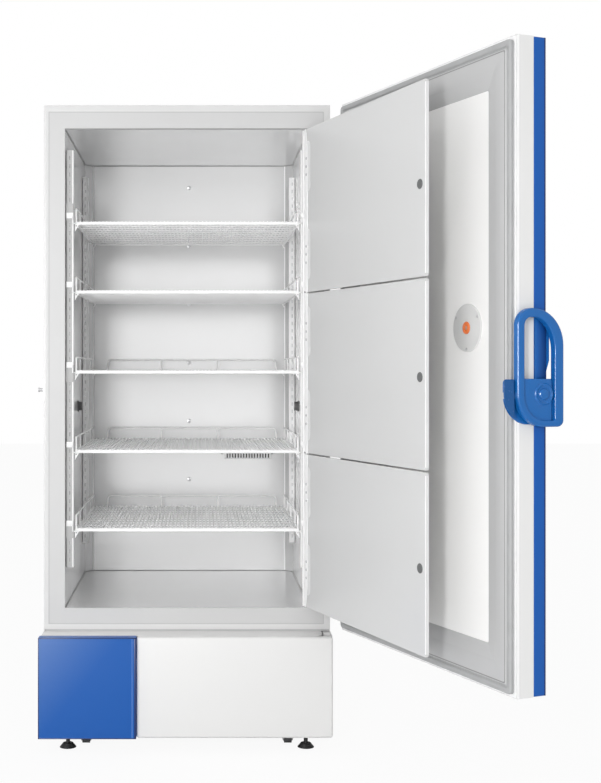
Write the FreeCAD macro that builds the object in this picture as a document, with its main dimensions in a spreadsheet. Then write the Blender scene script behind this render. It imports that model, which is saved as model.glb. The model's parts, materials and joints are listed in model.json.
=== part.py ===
import FreeCAD, Part
import Sketcher
import math
import os

# Upright laboratory freezer with one insulated door, three inner doors and five wire shelves.
# Millimetres, +Z up, +X to the right seen from the front, the back towards +Y.
# The origin lies on the floor, under the middle of the left levelling foot.

doc = FreeCAD.newDocument("LaboratoryFreezer")
sheet = doc.addObject("Spreadsheet::Sheet", "Dim")
parts = []

SIZES = {
    "Cabinet": {
        "cabinet_width": 850, "cabinet_depth": 770, "cabinet_bottom": 342, "cabinet_top": 1899,
        "skin": 1.2,
        "border_left": 16, "border_right": 21, "border_top": 22, "border_bottom": 17.5,
        "side_wall": 62, "floor_wall": 63, "top_wall": 69, "back_wall": 80,
        "liner_sheet": 1.2, "breaker_thick": 4, "corner_strip": 26,
    },
    "Posts and standards": {
        "post_wide": 22, "post_deep": 22, "post_back": 18, "post_wall": 1.5,
        "post_below": 118, "post_above": 62, "post_gap": 2,
        "standard_wide": 20, "standard_ahead": 140,
        "slot_long": 16, "slot_wide": 5, "slot_pitch": 83, "slot_margin": 22,
    },
    "Shelves": {
        "shelf_top_a": 1558, "shelf_top_b": 1352, "shelf_top_c": 1112, "shelf_top_d": 874,
        "shelf_top_e": 639, "shelf_side_gap": 27, "shelf_front": 30, "shelf_back_gap": 44,
        "deck_thick": 3.6, "deck_wire": 5, "deck_pitch": 28, "deck_rim": 6, "cross_bar": 6,
        "rail_rise": 38, "rear_rail_rise": 35, "rail_radius": 2.3, "rail_inset": 4,
        "rear_rail_left": 280, "rear_rail_right": 300,
        "clip_wide": 21, "clip_tall": 26, "clip_thick": 2.4, "clip_ledge": 9,
    },
    "Inner doors": {
        "inner_pivot_inset": 11, "inner_pivot_back": 5.5, "inner_open_angle": 110, "inner_thick": 8,
        "inner_edge": 4.5, "inner_front_gap": 0.5, "inner_left_gap": 5.5, "inner_corner": 6,
        "inner_a_low": 1342, "inner_a_gap": 4, "inner_b_low": 866, "inner_b_high": 1338,
        "inner_c_gap": 4, "inner_c_high": 862, "knuckle_radius": 4, "knuckle_bore": 2.4,
        "inner_pin_radius": 2, "leaf_tall": 120, "leaf_thick": 1.6, "leaf_wide": 36,
        "leaf_middle": 40, "hinge_margin": 112,
        "strike_radius": 12.5, "strike_thick": 2, "strike_inset": 30,
        "strip_wide": 6.2, "strip_deep": 12.2, "strip_low_gap": 0.3, "strip_high_gap": 8,
        "catch_wide": 21, "catch_tall": 50, "catch_deep": 3.2,
    },
    "Fittings in the chamber": {
        "vent_left": 125, "vent_right": 288, "vent_low": 800, "vent_high": 834, "vent_deep": 14,
        "vent_slot_wide": 4.5, "vent_slot_tall": 15, "vent_slot_pitch": 9.65,
        "liner_screw_radius": 7, "liner_screw_head": 2.5, "liner_screw_drop": 77,
        "liner_screw_pitch": 205.2, "liner_screw_count": 6,
        "port_height": 993, "port_back": 403, "port_radius": 15, "port_wall": 2,
        "stopper_flange": 18, "stopper_out": 14,
    },
    "Outer door": {
        "door_open_angle": 112, "hinge_out": 15, "hinge_back": 4, "gasket_gap": 12, "gasket_free": 0.6,
        "pan_deep": 48, "blue_deep": 36, "white_deep": 30, "blue_share": 289, "panel_split": 3,
        "door_low_gap": 0.5, "door_skin": 1.2, "door_border": 8, "gasket_wide": 26,
        "plug_edge": 40, "plug_draft": 10, "plug_rise": 10.5, "plug_ring": 42,
        "recess_bevel": 22, "recess_deep": 9, "front_edge": 5,
        "port_centre": 197, "door_port_height": 1217, "plate_radius": 60, "plate_thick": 4,
        "plug_radius": 14, "plug_head": 7, "plug_slot_wide": 13, "plug_slot_tall": 4,
        "barrel_radius": 8, "barrel_bore": 5.3, "barrel_pin": 5, "hinge_tall": 110,
        "hinge_low": 128, "hinge_middle": 1120, "hinge_high": 129, "hinge_leaf": 3,
        "hinge_leaf_long": 52, "display_centre": 145, "display_height": 1430,
        "display_wide": 150, "display_tall": 92, "display_deep": 3, "display_corner": 10,
    },
    "Latch": {
        "lever_gap": 8, "lever_thick": 17, "lever_bevel": 3.5, "lever_low": -74, "lever_high": 204.5,
        "lever_inner": 14, "lever_outer": 117, "lever_window_low": 39, "lever_window_high": 183,
        "lever_window_near": 5, "lever_window_far": 87, "boss_reach": 62.5, "boss_height": 3,
        "boss_radius": 23, "boss_rise": 5, "boss_cap": 12, "pivot_radius": 7, "pivot_bore": 7.4,
        "housing_low": -68, "housing_high": 37, "housing_near": 41, "housing_far": 110,
        "housing_gap": 0.4, "hook_thick": 3.5, "hook_width": 7,
        "keeper_height": 1053, "keeper_back": 10, "keeper_stud": 5, "keeper_head": 6.5,
        "keeper_head_thick": 4, "keeper_long": 18, "keeper_plate_tall": 66,
        "keeper_plate_wide": 30, "keeper_plate_thick": 2, "lever_crown": 84, "lever_brow": 42,
        "lever_heel": 76, "lever_toe": 16, "window_crown": 58, "window_brow": 20,
        "window_toe": 6, "window_heel": 3, "housing_heel": 70, "housing_brow": 8,
        "housing_toe": 10, "guard_near": 50, "guard_far": 89, "guard_step": 9,
        "guard_waist": 55, "guard_shoulder": 82, "guard_high": 192, "guard_out": 4.2,
    },
    "Base": {
        "base_bottom": 43, "base_front": 88, "base_blue_front": 96, "base_blue_wide": 285,
        "base_blue_side": 6, "base_panel_top": 336.5, "panel_sheet": 1.5, "panel_return": 26,
        "panel_round": 10, "blue_round": 7, "panel_clear": 0.4, "chassis_sheet": 2,
        "ledge_top": 336, "ledge_thick": 3, "ledge_right": 398, "ledge_round": 26, "rail_tall": 22,
        "grille_low": 80, "grille_half": 330, "grille_thick": 2,
        "louvre_tall": 7, "louvre_pitch": 16, "louvre_count": 12, "louvre_half": 140,
        "compressor_radius": 88, "compressor_tall": 190, "compressor_left": 190,
        "compressor_back": 290, "mount_radius": 14, "mount_tall": 16,
        "condenser_wide": 330, "condenser_tall": 210, "condenser_thick": 44,
        "condenser_right": 60, "condenser_back": 40, "fin_thick": 1.5, "fin_pitch": 54,
        "fin_count": 7, "tube_radius": 5, "arm_radius": 4, "shroud_thick": 3, "shroud_gap": 6,
        "fan_radius": 88, "fan_hub": 22, "fan_deep": 22, "fan_clear": 6, "blade_count": 5,
        "blade_thick": 2, "blade_angle": 32, "motor_radius": 30, "motor_long": 46, "motor_shaft": 4,
        "box_wide": 210, "box_deep": 120, "box_tall": 170, "box_right": 320, "box_back": 60,
        "box_corner": 6, "inlet_corner": 4,
        "inlet_wide": 50, "inlet_tall": 30, "inlet_deep": 14, "inlet_height": 120,
        "inlet_across": 372,
    },
    "Feet and casters": {
        "foot_radius": 24.5, "foot_thick": 12, "foot_across": 351, "foot_ahead": 22,
        "foot_stem": 6, "foot_nut": 10, "foot_nut_tall": 8,
        "caster_across": 300, "caster_front": 26, "caster_rear": 80, "caster_lift": 2, "caster_trail": 14,
        "wheel_radius": 16, "wheel_wide": 22, "wheel_bore": 4.4, "axle_radius": 4,
        "fork_wall": 2.5, "fork_clear": 1, "fork_plate": 2.5, "swivel_radius": 9,
        "cheek_bevel": 5,
    },
}

row = 0
for section, values in SIZES.items():
    row += 1
    sheet.set(f"A{row}", section)
    for word, number in values.items():
        row += 1
        sheet.set(f"A{row}", word.replace("_", " "))
        sheet.set(f"B{row}", str(number))
        sheet.setAlias(f"B{row}", word)
doc.recompute()


def size(formula):
    """The value of a formula on the sheet, in millimetres or degrees."""
    found = sheet.evalExpression(str(formula))
    return float(getattr(found, "Value", found))


def bind(item, formulas):
    for path, formula in formulas.items():
        item.setExpression(path, str(formula))


def block(name, across, deep, tall):
    """A box between two formulas along each axis."""
    item = doc.addObject("Part::Box", name)
    for axis, side, (low, high) in zip("xyz", ("Length", "Width", "Height"), (across, deep, tall)):
        bind(item, {f"Placement.Base.{axis}": low, side: f"({high}) - ({low})"})
    return item


TURNS = {
    "x": FreeCAD.Rotation(FreeCAD.Vector(0, 1, 0), 90),
    "y": FreeCAD.Rotation(FreeCAD.Vector(1, 0, 0), -90),
    "z": FreeCAD.Rotation(),
}


def along(item, axis, start):
    """Lays an item that is built along +Z along another axis, from a starting point."""
    item.Placement = FreeCAD.Placement(FreeCAD.Vector(), TURNS[axis])
    bind(item, {f"Placement.Base.{letter}": place for letter, place in zip("xyz", start)})
    return item


def rod(name, axis, start, radius, length):
    item = doc.addObject("Part::Cylinder", name)
    bind(item, {"Radius": radius, "Height": length})
    return along(item, axis, start)


def cone(name, axis, start, radius, end_radius, length):
    item = doc.addObject("Part::Cone", name)
    bind(item, {"Radius1": radius, "Radius2": end_radius, "Height": length})
    return along(item, axis, start)


def bar(name, axis, start, radius, length, flats=6):
    """A wire or small turned piece, drawn with a few flats."""
    item = doc.addObject("Part::Prism", name)
    item.Polygon = flats
    bind(item, {"Circumradius": radius, "Height": length})
    return along(item, axis, start)


def fuse(name, items):
    item = doc.addObject("Part::MultiFuse", name)
    item.Shapes = items
    return item


def cut(name, base, tools):
    item = doc.addObject("Part::Cut", name)
    item.Base = base
    item.Tool = tools[0] if len(tools) == 1 else fuse(name + "_tools", tools)
    return item


def group(name, items):
    item = doc.addObject("Part::Compound", name)
    item.Links = items
    return item


def rounded(name, base, radius, chosen, kind="Fillet"):
    """Rounds or bevels the edges of a finished shape that the test picks out."""
    doc.recompute()
    item = doc.addObject("Part::" + kind, name)
    item.Base = base
    amount = size(radius)
    item.Edges = [(n, amount, amount) for n, edge in enumerate(base.Shape.Edges, 1) if chosen(edge)]
    return item


def upright(edge):
    return abs(edge.tangentAt(edge.FirstParameter).z) > 0.99


def peg(name, axis, start, radius, length):
    """A small round piece or bore, drawn with twelve flats."""
    return bar(name, axis, start, radius, length, 12)


ORIGIN = {
    "Placement.Base.x": "Dim.foot_across",
    "Placement.Base.y": "Dim.cabinet_depth / 2 + Dim.foot_ahead",
}


def part(name, item, place=None):
    """Sets a finished sub-part in its frame, carries it to the origin and names it."""
    bind(item, place or {})
    carried = group(name, [item])
    carried.Label = name
    bind(carried, ORIGIN)
    parts.append(carried)
    return carried


def new_body(name):
    return doc.addObject("PartDesign::Body", name)


def plane_of(body, role):
    return next(item for item in body.Origin.OriginFeatures if item.Role == role)


def add_loop(sketch, corners):
    """A closed loop of lines whose corners are held at formulas from the origin."""
    first = sketch.GeometryCount
    points = [FreeCAD.Vector(size(u), size(v), 0) for u, v in corners]
    for n, point in enumerate(points):
        sketch.addGeometry(Part.LineSegment(point, points[(n + 1) % len(points)]), False)
    for n, (u, v) in enumerate(corners):
        following = first + (n + 1) % len(corners)
        sketch.addConstraint(Sketcher.Constraint("Coincident", first + n, 2, following, 1))
        for kind, formula, value in (("DistanceX", u, points[n].x), ("DistanceY", v, points[n].y)):
            held = sketch.addConstraint(Sketcher.Constraint(kind, -1, 1, first + n, 1, value))
            sketch.setExpression(f"Constraints[{held}]", str(formula))


def new_sketch(body, name, role):
    sketch = body.newObject("Sketcher::SketchObject", name)
    sketch.AttachmentSupport = [(plane_of(body, role), "")]
    sketch.MapMode = "FlatFace"
    return sketch


def loop_sketch(body, name, role, loops, offset="0"):
    sketch = new_sketch(body, name, role)
    bind(sketch, {"AttachmentOffset.Base.z": offset})
    for corners in loops:
        add_loop(sketch, corners)
    return sketch


def pad(body, sketch, name, length):
    item = body.newObject("PartDesign::Pad", name)
    item.Profile = sketch
    bind(item, {"Length": length})
    sketch.Visibility = False
    return item


def pocket(body, sketch, name, length, backwards=False):
    item = body.newObject("PartDesign::Pocket", name)
    item.Profile = sketch
    item.Reversed = backwards
    bind(item, {"Length": length})
    return item


def repeat(body, feature, name, sketch, axis, length, count):
    """A straight pattern of one feature, which becomes the body's tip."""
    item = body.newObject("PartDesign::LinearPattern", name)
    item.Originals = [feature]
    item.Direction = (sketch, [axis])
    bind(item, {"Length": length, "Occurrences": count})
    body.Tip = item
    return item


def rectangle(low_u, high_u, low_v, high_v):
    return [(low_u, low_v), (high_u, low_v), (high_u, high_v), (low_u, high_v)]


# Places that many pieces share
FRONT = "(-Dim.cabinet_depth / 2)"
BACK = "(Dim.cabinet_depth / 2)"
LEFT = "(-Dim.cabinet_width / 2)"
RIGHT = "(Dim.cabinet_width / 2)"
WALL = "(Dim.cabinet_width / 2 - Dim.side_wall)"
CHAMBER_LOW = "(Dim.cabinet_bottom + Dim.floor_wall)"
CHAMBER_HIGH = "(Dim.cabinet_top - Dim.top_wall)"
LINER_BACK = f"({BACK} - Dim.back_wall)"
SHELF_HALF = f"({WALL} - Dim.shelf_side_gap)"
SHELF_DEEP = "(Dim.cabinet_depth - Dim.back_wall - Dim.shelf_front - Dim.shelf_back_gap)"
STANDARD_SETBACK = "(Dim.cabinet_depth - Dim.back_wall - Dim.standard_ahead)"
POST_LOW = f"({CHAMBER_LOW} + Dim.post_below)"
POST_HIGH = f"({CHAMBER_HIGH} - Dim.post_above)"
SLOT_FIRST = f"{POST_LOW} + Dim.slot_margin"
SLOT_RUN = f"({POST_HIGH} - {POST_LOW} - Dim.slot_margin - Dim.slot_long)"
SLOT_COUNT = f"(floor({SLOT_RUN} / Dim.slot_pitch) + 1)"
SHELF_TOPS = [f"Dim.shelf_top_{letter}" for letter in "abcde"]


def behind(amount):
    """A place this far behind the front plane of the cabinet."""
    return f"{FRONT} + ({amount})"


def cabinet_shell():
    body = new_body("cabinet_wrapper_body")
    inner_left = f"{LEFT} + Dim.skin"
    inner_right = f"{RIGHT} - Dim.skin"
    roof = "Dim.cabinet_top - Dim.skin"
    wall = [
        (LEFT, "Dim.cabinet_bottom"), (inner_left, "Dim.cabinet_bottom"), (inner_left, roof),
        (inner_right, roof), (inner_right, "Dim.cabinet_bottom"), (RIGHT, "Dim.cabinet_bottom"),
        (RIGHT, "Dim.cabinet_top"), (LEFT, "Dim.cabinet_top"),
    ]
    border = [
        (LEFT, "Dim.cabinet_bottom"), (f"{LEFT} + Dim.border_left", "Dim.cabinet_bottom"),
        (f"{LEFT} + Dim.border_left", "Dim.cabinet_top - Dim.border_top"),
        (f"{RIGHT} - Dim.border_right", "Dim.cabinet_top - Dim.border_top"),
        (f"{RIGHT} - Dim.border_right", "Dim.cabinet_bottom"), (RIGHT, "Dim.cabinet_bottom"),
        (RIGHT, "Dim.cabinet_top"), (LEFT, "Dim.cabinet_top"),
    ]
    low, high = f"-{BACK}", f"-{FRONT}"
    walls = loop_sketch(body, "wrapper_walls", "XZ_Plane", [wall], low)
    pad(body, walls, "wrapper_pad", "Dim.cabinet_depth")
    face = loop_sketch(body, "wrapper_border", "XZ_Plane", [border], f"{high} - Dim.skin")
    pad(body, face, "border_pad", "Dim.skin")
    bores = port_bores("wrapper_port", "Dim.port_radius + Dim.port_wall")
    part("cabinet_wrapper", cut("wrapper", body, bores))

    sheet_back = block(
        "back_sheet", (f"{LEFT} + Dim.skin", f"{RIGHT} - Dim.skin"),
        (f"{BACK} - Dim.skin", BACK), ("Dim.cabinet_bottom", "Dim.cabinet_top - Dim.skin"),
    )
    part("back_panel", sheet_back)

    floor_sheet = block(
        "floor_sheet", (f"{LEFT} + Dim.skin", f"{RIGHT} - Dim.skin"),
        (behind("Dim.skin"), f"{BACK} - Dim.skin"),
        ("Dim.cabinet_bottom", "Dim.cabinet_bottom + Dim.skin"),
    )
    lip = block(
        "floor_lip", (f"{LEFT} + Dim.border_left", f"{RIGHT} - Dim.border_right"),
        (FRONT, behind("Dim.skin")),
        ("Dim.cabinet_bottom", "Dim.cabinet_bottom + Dim.border_bottom"),
    )
    part("bottom_panel", fuse("bottom_fold", [floor_sheet, lip]))

    inside = (f"{LEFT} + Dim.skin", f"{RIGHT} - Dim.skin")
    foam = block(
        "foam_block", inside, (behind("Dim.skin"), f"{BACK} - Dim.skin"),
        ("Dim.cabinet_bottom + Dim.skin", "Dim.cabinet_top - Dim.skin"),
    )
    rebate = block(
        "foam_rebate",
        (f"{LEFT} + Dim.border_left", f"{RIGHT} - Dim.border_right"),
        (FRONT, behind("Dim.breaker_thick")),
        ("Dim.cabinet_bottom + Dim.border_bottom", "Dim.cabinet_top - Dim.border_top"),
    )
    cavity = block(
        "foam_cavity", (f"-{WALL} - Dim.liner_sheet", f"{WALL} + Dim.liner_sheet"),
        (FRONT, f"{LINER_BACK} + Dim.liner_sheet"),
        (f"{CHAMBER_LOW} - Dim.liner_sheet", f"{CHAMBER_HIGH} + Dim.liner_sheet"),
    )
    bores = port_bores("foam_port", "Dim.port_radius + Dim.port_wall")
    part("insulation_foam", cut("foam", foam, [rebate, cavity, *bores]))


def port_bores(name, radius):
    """The two holes of the access ports through the side walls."""
    across = f"Dim.cabinet_width / 2 - {WALL} + 4"
    left = peg(name + "_left", "x", (f"{LEFT} - 2", behind("Dim.port_back"), "Dim.port_height"),
               radius, across)
    right = peg(name + "_right", "x", (f"{WALL} - 2", behind("Dim.port_back"), "Dim.port_height"),
                radius, across)
    return [left, right]


def chamber_lining():
    outer = block(
        "liner_outer", (f"-{WALL} - Dim.liner_sheet", f"{WALL} + Dim.liner_sheet"),
        (behind("Dim.breaker_thick"), f"{LINER_BACK} + Dim.liner_sheet"),
        (f"{CHAMBER_LOW} - Dim.liner_sheet", f"{CHAMBER_HIGH} + Dim.liner_sheet"),
    )
    inner = block(
        "liner_inner", (f"-{WALL}", WALL), (FRONT, LINER_BACK),
        (CHAMBER_LOW, CHAMBER_HIGH),
    )
    inner = rounded(
        "liner_corners", inner, "Dim.corner_strip",
        lambda edge: upright(edge) and edge.CenterOfMass.y > size(LINER_BACK) - 1, "Chamfer",
    )
    bores = port_bores("liner_port", "Dim.port_radius + Dim.port_wall")
    part("inner_liner", cut("liner", outer, [inner, *bores]))

    frame = block(
        "breaker_outer", (f"{LEFT} + Dim.border_left", f"{RIGHT} - Dim.border_right"),
        (FRONT, behind("Dim.breaker_thick")),
        ("Dim.cabinet_bottom + Dim.border_bottom", "Dim.cabinet_top - Dim.border_top"),
    )
    opening = block(
        "breaker_opening", (f"-{WALL}", WALL), (f"{FRONT} - 1", behind("Dim.breaker_thick + 1")),
        (CHAMBER_LOW, CHAMBER_HIGH),
    )
    part("breaker_frame", cut("breaker", frame, [opening]))


def slotted_channel(name, corners, slot, slot_axis):
    """An upright channel with a row of slots, as a body with a straight pattern."""
    body = new_body(name)
    profile = loop_sketch(body, name + "_profile", "XY_Plane", [corners], POST_LOW)
    pad(body, profile, name + "_pad", f"{POST_HIGH} - {POST_LOW}")
    mouth = loop_sketch(body, name + "_slot", slot_axis, [slot["loop"]], slot["offset"])
    hole = pocket(body, mouth, name + "_pocket", slot["depth"], slot["backwards"])
    repeat(body, hole, name + "_row", mouth, "V_Axis",
           f"Dim.slot_pitch * ({SLOT_COUNT} - 1)", SLOT_COUNT)
    return body


def chamber_uprights():
    posts = []
    for side, sign in (("left", "-1"), ("right", "1")):
        outer = f"{sign} * ({WALL} - Dim.post_gap)"
        inner = f"{sign} * ({WALL} - Dim.post_gap - Dim.post_wide)"
        web = f"{sign} * ({WALL} - Dim.post_gap - Dim.post_wide + Dim.post_wall)"
        near, far = behind("Dim.post_back"), behind("Dim.post_back + Dim.post_deep")
        corners = [
            (outer, near), (inner, near), (inner, far), (outer, far),
            (outer, f"{far} - Dim.post_wall"), (web, f"{far} - Dim.post_wall"),
            (web, f"{near} + Dim.post_wall"), (outer, f"{near} + Dim.post_wall"),
        ]
        middle = behind("Dim.post_back + Dim.post_deep / 2")
        slot = {
            "loop": rectangle(f"{middle} - Dim.slot_wide / 2", f"{middle} + Dim.slot_wide / 2",
                              SLOT_FIRST, f"{SLOT_FIRST} + Dim.slot_long"),
            "offset": f"{inner} - 1", "depth": "Dim.post_wall + 2", "backwards": True,
        }
        if side == "left":
            slot["offset"] = f"{web} - 1"
        posts.append(slotted_channel(f"{side}_post", corners, slot, "YZ_Plane"))
    part("front_posts", group("front_posts_pair", posts))

    standards = []
    for side, sign in (("left", "-1"), ("right", "1")):
        wall = f"{sign} * {WALL}"
        face = f"{sign} * ({WALL} - Dim.post_gap - Dim.post_wide / 2)"
        web = f"{sign} * ({WALL} - Dim.post_gap - Dim.post_wide / 2 + Dim.post_wall)"
        near = behind(STANDARD_SETBACK)
        far = behind(f"{STANDARD_SETBACK} + Dim.standard_wide")
        corners = [
            (wall, near), (face, near), (face, far), (wall, far),
            (wall, f"{far} - Dim.post_wall"), (web, f"{far} - Dim.post_wall"),
            (web, f"{near} + Dim.post_wall"), (wall, f"{near} + Dim.post_wall"),
        ]
        middle = behind(f"{STANDARD_SETBACK} + Dim.standard_wide / 2")
        slot = {
            "loop": rectangle(f"{middle} - Dim.slot_wide / 2", f"{middle} + Dim.slot_wide / 2",
                              SLOT_FIRST, f"{SLOT_FIRST} + Dim.slot_long"),
            "offset": f"{face} - 1" if side == "right" else f"{web} - 1",
            "depth": "Dim.post_wall + 2", "backwards": True,
        }
        standards.append(slotted_channel(f"{side}_standard", corners, slot, "YZ_Plane"))
    part("rear_standards", group("rear_standards_pair", standards))


def wire_shelf(number, top):
    """A welded shelf: a rimmed grid of wires, its cross bars and three guard rails."""
    name = f"shelf_{number}"
    near, far = behind("Dim.shelf_front"), behind(f"Dim.shelf_front + {SHELF_DEEP}")
    deck = new_body(name + "_deck")
    plate = loop_sketch(
        deck, name + "_rim", "XY_Plane",
        [rectangle(f"-{SHELF_HALF}", SHELF_HALF, near, far)], f"{top} - Dim.deck_thick",
    )
    pad(deck, plate, name + "_pad", "Dim.deck_thick")
    first = f"-{SHELF_HALF} + Dim.deck_rim"
    gap = loop_sketch(
        deck, name + "_gap", "XY_Plane",
        [rectangle(first, f"{first} + Dim.deck_pitch - Dim.deck_wire",
                   f"{near} + Dim.deck_rim", f"{far} - Dim.deck_rim")],
        f"{top} + 1",
    )
    hole = pocket(deck, gap, name + "_pocket", "Dim.deck_thick + 2")
    count = f"floor((2 * {SHELF_HALF} - 2 * Dim.deck_rim + Dim.deck_wire) / Dim.deck_pitch)"
    repeat(deck, hole, name + "_wires", gap, "H_Axis", f"Dim.deck_pitch * ({count} - 1)", count)

    under = f"{top} - Dim.deck_thick"
    solids = [deck]
    for n, share in enumerate(("0.02", "0.34", "0.66", "0.98")):
        middle = f"{near} + {share} * {SHELF_DEEP}"
        solids.append(block(
            f"{name}_cross_{n}", (f"-{SHELF_HALF}", SHELF_HALF),
            (f"{middle} - Dim.cross_bar / 2", f"{middle} + Dim.cross_bar / 2"),
            (f"{under} - Dim.cross_bar", under),
        ))
    crown = f"{top} + Dim.rail_rise"
    for side, sign in (("left", "-1"), ("right", "1")):
        at = f"{sign} * ({SHELF_HALF} - Dim.rail_inset)"
        pieces = [bar(f"{name}_{side}_top", "y", (at, near, crown), "Dim.rail_radius",
                      SHELF_DEEP)]
        for n, share in enumerate(("0.01", "0.19", "0.47", "0.75", "0.99")):
            pieces.append(bar(f"{name}_{side}_upright_{n}", "z",
                              (at, f"{near} + {share} * {SHELF_DEEP}", top),
                              "Dim.rail_radius", "Dim.rail_rise"))
        solids.append(fuse(f"{name}_{side}_rail", pieces))
    back = f"{far} - Dim.rail_inset - 2 * Dim.rail_radius"
    rise = f"{top} + Dim.rear_rail_rise"
    width = "(Dim.rear_rail_left + Dim.rear_rail_right)"
    pieces = [bar(f"{name}_rear_top", "x", ("-Dim.rear_rail_left", back, rise),
                  "Dim.rail_radius", width)]
    for n, share in enumerate(("0.01", "0.33", "0.67", "0.99")):
        pieces.append(bar(f"{name}_rear_upright_{n}", "z",
                          (f"-Dim.rear_rail_left + {share} * {width}", back, top),
                          "Dim.rail_radius", "Dim.rear_rail_rise"))
    solids.append(fuse(f"{name}_rear_rail", pieces))
    part(name, group(name + "_welded", solids))


def shelf_clip(name, sign, at, face, top):
    """A bent clip that hooks in the slots and carries a cross bar of the shelf."""
    bearer = f"{top} - Dim.deck_thick - Dim.cross_bar"
    body = new_body(name)
    low = f"{bearer} - Dim.clip_tall"
    outer, inner = f"{sign} * ({face})", f"{sign} * ({face} - Dim.clip_thick)"
    ledge = f"{sign} * ({face} - Dim.clip_thick - Dim.clip_ledge)"
    corners = [
        (outer, low), (inner, low), (inner, f"{bearer} - Dim.clip_thick"),
        (ledge, f"{bearer} - Dim.clip_thick"), (ledge, bearer), (outer, bearer),
    ]
    profile = loop_sketch(body, name + "_profile", "XZ_Plane", [corners],
                          f"-({at}) - Dim.clip_wide / 2")
    pad(body, profile, name + "_pad", "Dim.clip_wide")
    taper = loop_sketch(
        body, name + "_taper", "YZ_Plane",
        [[(f"({at}) - Dim.clip_wide / 2 - 1", f"{low} - 1"),
          (f"({at}) - 1", f"{low} - 1"),
          (f"({at}) - Dim.clip_wide / 2 - 1", f"{low} + Dim.clip_tall * 0.75")],
         [(f"({at}) + Dim.clip_wide / 2 + 1", f"{low} - 1"),
          (f"({at}) + Dim.clip_wide / 2 + 1", f"{low} + Dim.clip_tall * 0.75"),
          (f"({at}) + 1", f"{low} - 1")]],
        f"{outer} - 2" if sign == "-1" else f"{inner} - 2",
    )
    pocket(body, taper, name + "_corners", "Dim.clip_thick + 4", True)
    return body


def shelf_supports():
    clips = []
    front_face = f"{WALL} - Dim.post_gap - Dim.post_wide"
    rear_face = f"{WALL} - Dim.post_gap - Dim.post_wide / 2"
    front_at = behind("Dim.post_back + Dim.post_deep / 2")
    rear_at = behind(f"{STANDARD_SETBACK} + Dim.standard_wide / 2")
    for number, top in enumerate(SHELF_TOPS, 1):
        for side, sign in (("left", "-1"), ("right", "1")):
            clips.append(shelf_clip(f"clip_{number}_{side}_front", sign, front_at, front_face, top))
            clips.append(shelf_clip(f"clip_{number}_{side}_rear", sign, rear_at, rear_face, top))
    part("shelf_clips", group("shelf_clip_set", clips))


def chamber_fittings():
    body = new_body("vent_cover_body")
    plate = loop_sketch(
        body, "vent_outline", "XZ_Plane",
        [rectangle("Dim.vent_left", "Dim.vent_right", "Dim.vent_low", "Dim.vent_high")],
        f"-{LINER_BACK}",
    )
    pad(body, plate, "vent_pad", "Dim.vent_deep")
    hollow = loop_sketch(
        body, "vent_hollow", "XZ_Plane",
        [rectangle("Dim.vent_left + 2", "Dim.vent_right - 2", "Dim.vent_low + 2",
                   "Dim.vent_high - 2")],
        f"-{LINER_BACK} - 1",
    )
    pocket(body, hollow, "vent_hollow_pocket", "Dim.vent_deep - 1", True)
    middle = "(Dim.vent_low + Dim.vent_high) / 2"
    first = "Dim.vent_left + Dim.vent_slot_wide"
    slot = loop_sketch(
        body, "vent_slot", "XZ_Plane",
        [rectangle(first, f"{first} + Dim.vent_slot_wide", f"{middle} - Dim.vent_slot_tall / 2",
                   f"{middle} + Dim.vent_slot_tall / 2")],
        f"-{LINER_BACK} + Dim.vent_deep + 1",
    )
    hole = pocket(body, slot, "vent_slot_pocket", "4")
    count = "floor((Dim.vent_right - Dim.vent_left - 2 * Dim.vent_slot_wide) / Dim.vent_slot_pitch)"
    repeat(body, hole, "vent_slots", slot, "H_Axis", f"Dim.vent_slot_pitch * ({count} - 1)", count)
    part("sensor_cover", body)

    screws = []
    for n in range(int(size("Dim.liner_screw_count"))):
        height = f"{CHAMBER_HIGH} - Dim.liner_screw_drop - {n} * Dim.liner_screw_pitch"
        screws.append(bar(f"liner_screw_{n}", "y",
                          ("0", f"{LINER_BACK} - Dim.liner_screw_head", height),
                          "Dim.liner_screw_radius", "Dim.liner_screw_head", 12))
    part("liner_screws", group("liner_screw_row", screws))

    stoppers = []
    depth = "Dim.side_wall"
    for side, outside, inside in (("left", LEFT, f"-{WALL}"), ("right", WALL, f"{WALL}")):
        at, up = behind("Dim.port_back"), "Dim.port_height"
        tube = peg(f"{side}_port_tube", "x", (outside, at, up),
                   "Dim.port_radius + Dim.port_wall", depth)
        bore = peg(f"{side}_port_bore", "x", (f"{outside} - 1", at, up), "Dim.port_radius",
                   f"{depth} + 2")
        stoppers.append(cut(f"{side}_port_sleeve", tube, [bore]))
        out = "-1" if side == "right" else "0"
        core = peg(f"{side}_stopper_core", "x",
                   (f"{outside} + {out} * Dim.stopper_out", at, up), "Dim.port_radius - 0.3",
                   f"{depth} + Dim.stopper_out")
        collar = peg(f"{side}_stopper_collar", "x", (f"{inside} + {out} * 3", at, up),
                     "Dim.stopper_flange", "3")
        stoppers.append(fuse(f"{side}_stopper", [core, collar]))
    part("port_stoppers", group("port_stopper_pair", stoppers))


INNER_X = f"({WALL} - Dim.inner_pivot_inset)"
INNER_Y = f"({FRONT} + Dim.inner_pivot_back)"
INNER_PLACE = {
    "Placement.Base.x": INNER_X, "Placement.Base.y": INNER_Y,
    "Placement.Rotation.Angle": "Dim.inner_open_angle",
}


INNER_SPANS = {
    "top": ("Dim.inner_a_low", f"({CHAMBER_HIGH} - Dim.inner_a_gap)"),
    "middle": ("Dim.inner_b_low", "Dim.inner_b_high"),
    "bottom": (f"({CHAMBER_LOW} + Dim.inner_c_gap)", "Dim.inner_c_high"),
}


def inner_hinge_heights(position):
    low, high = INNER_SPANS[position]
    return [f"{high} - Dim.hinge_margin", f"{low} + Dim.hinge_margin"]


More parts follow.
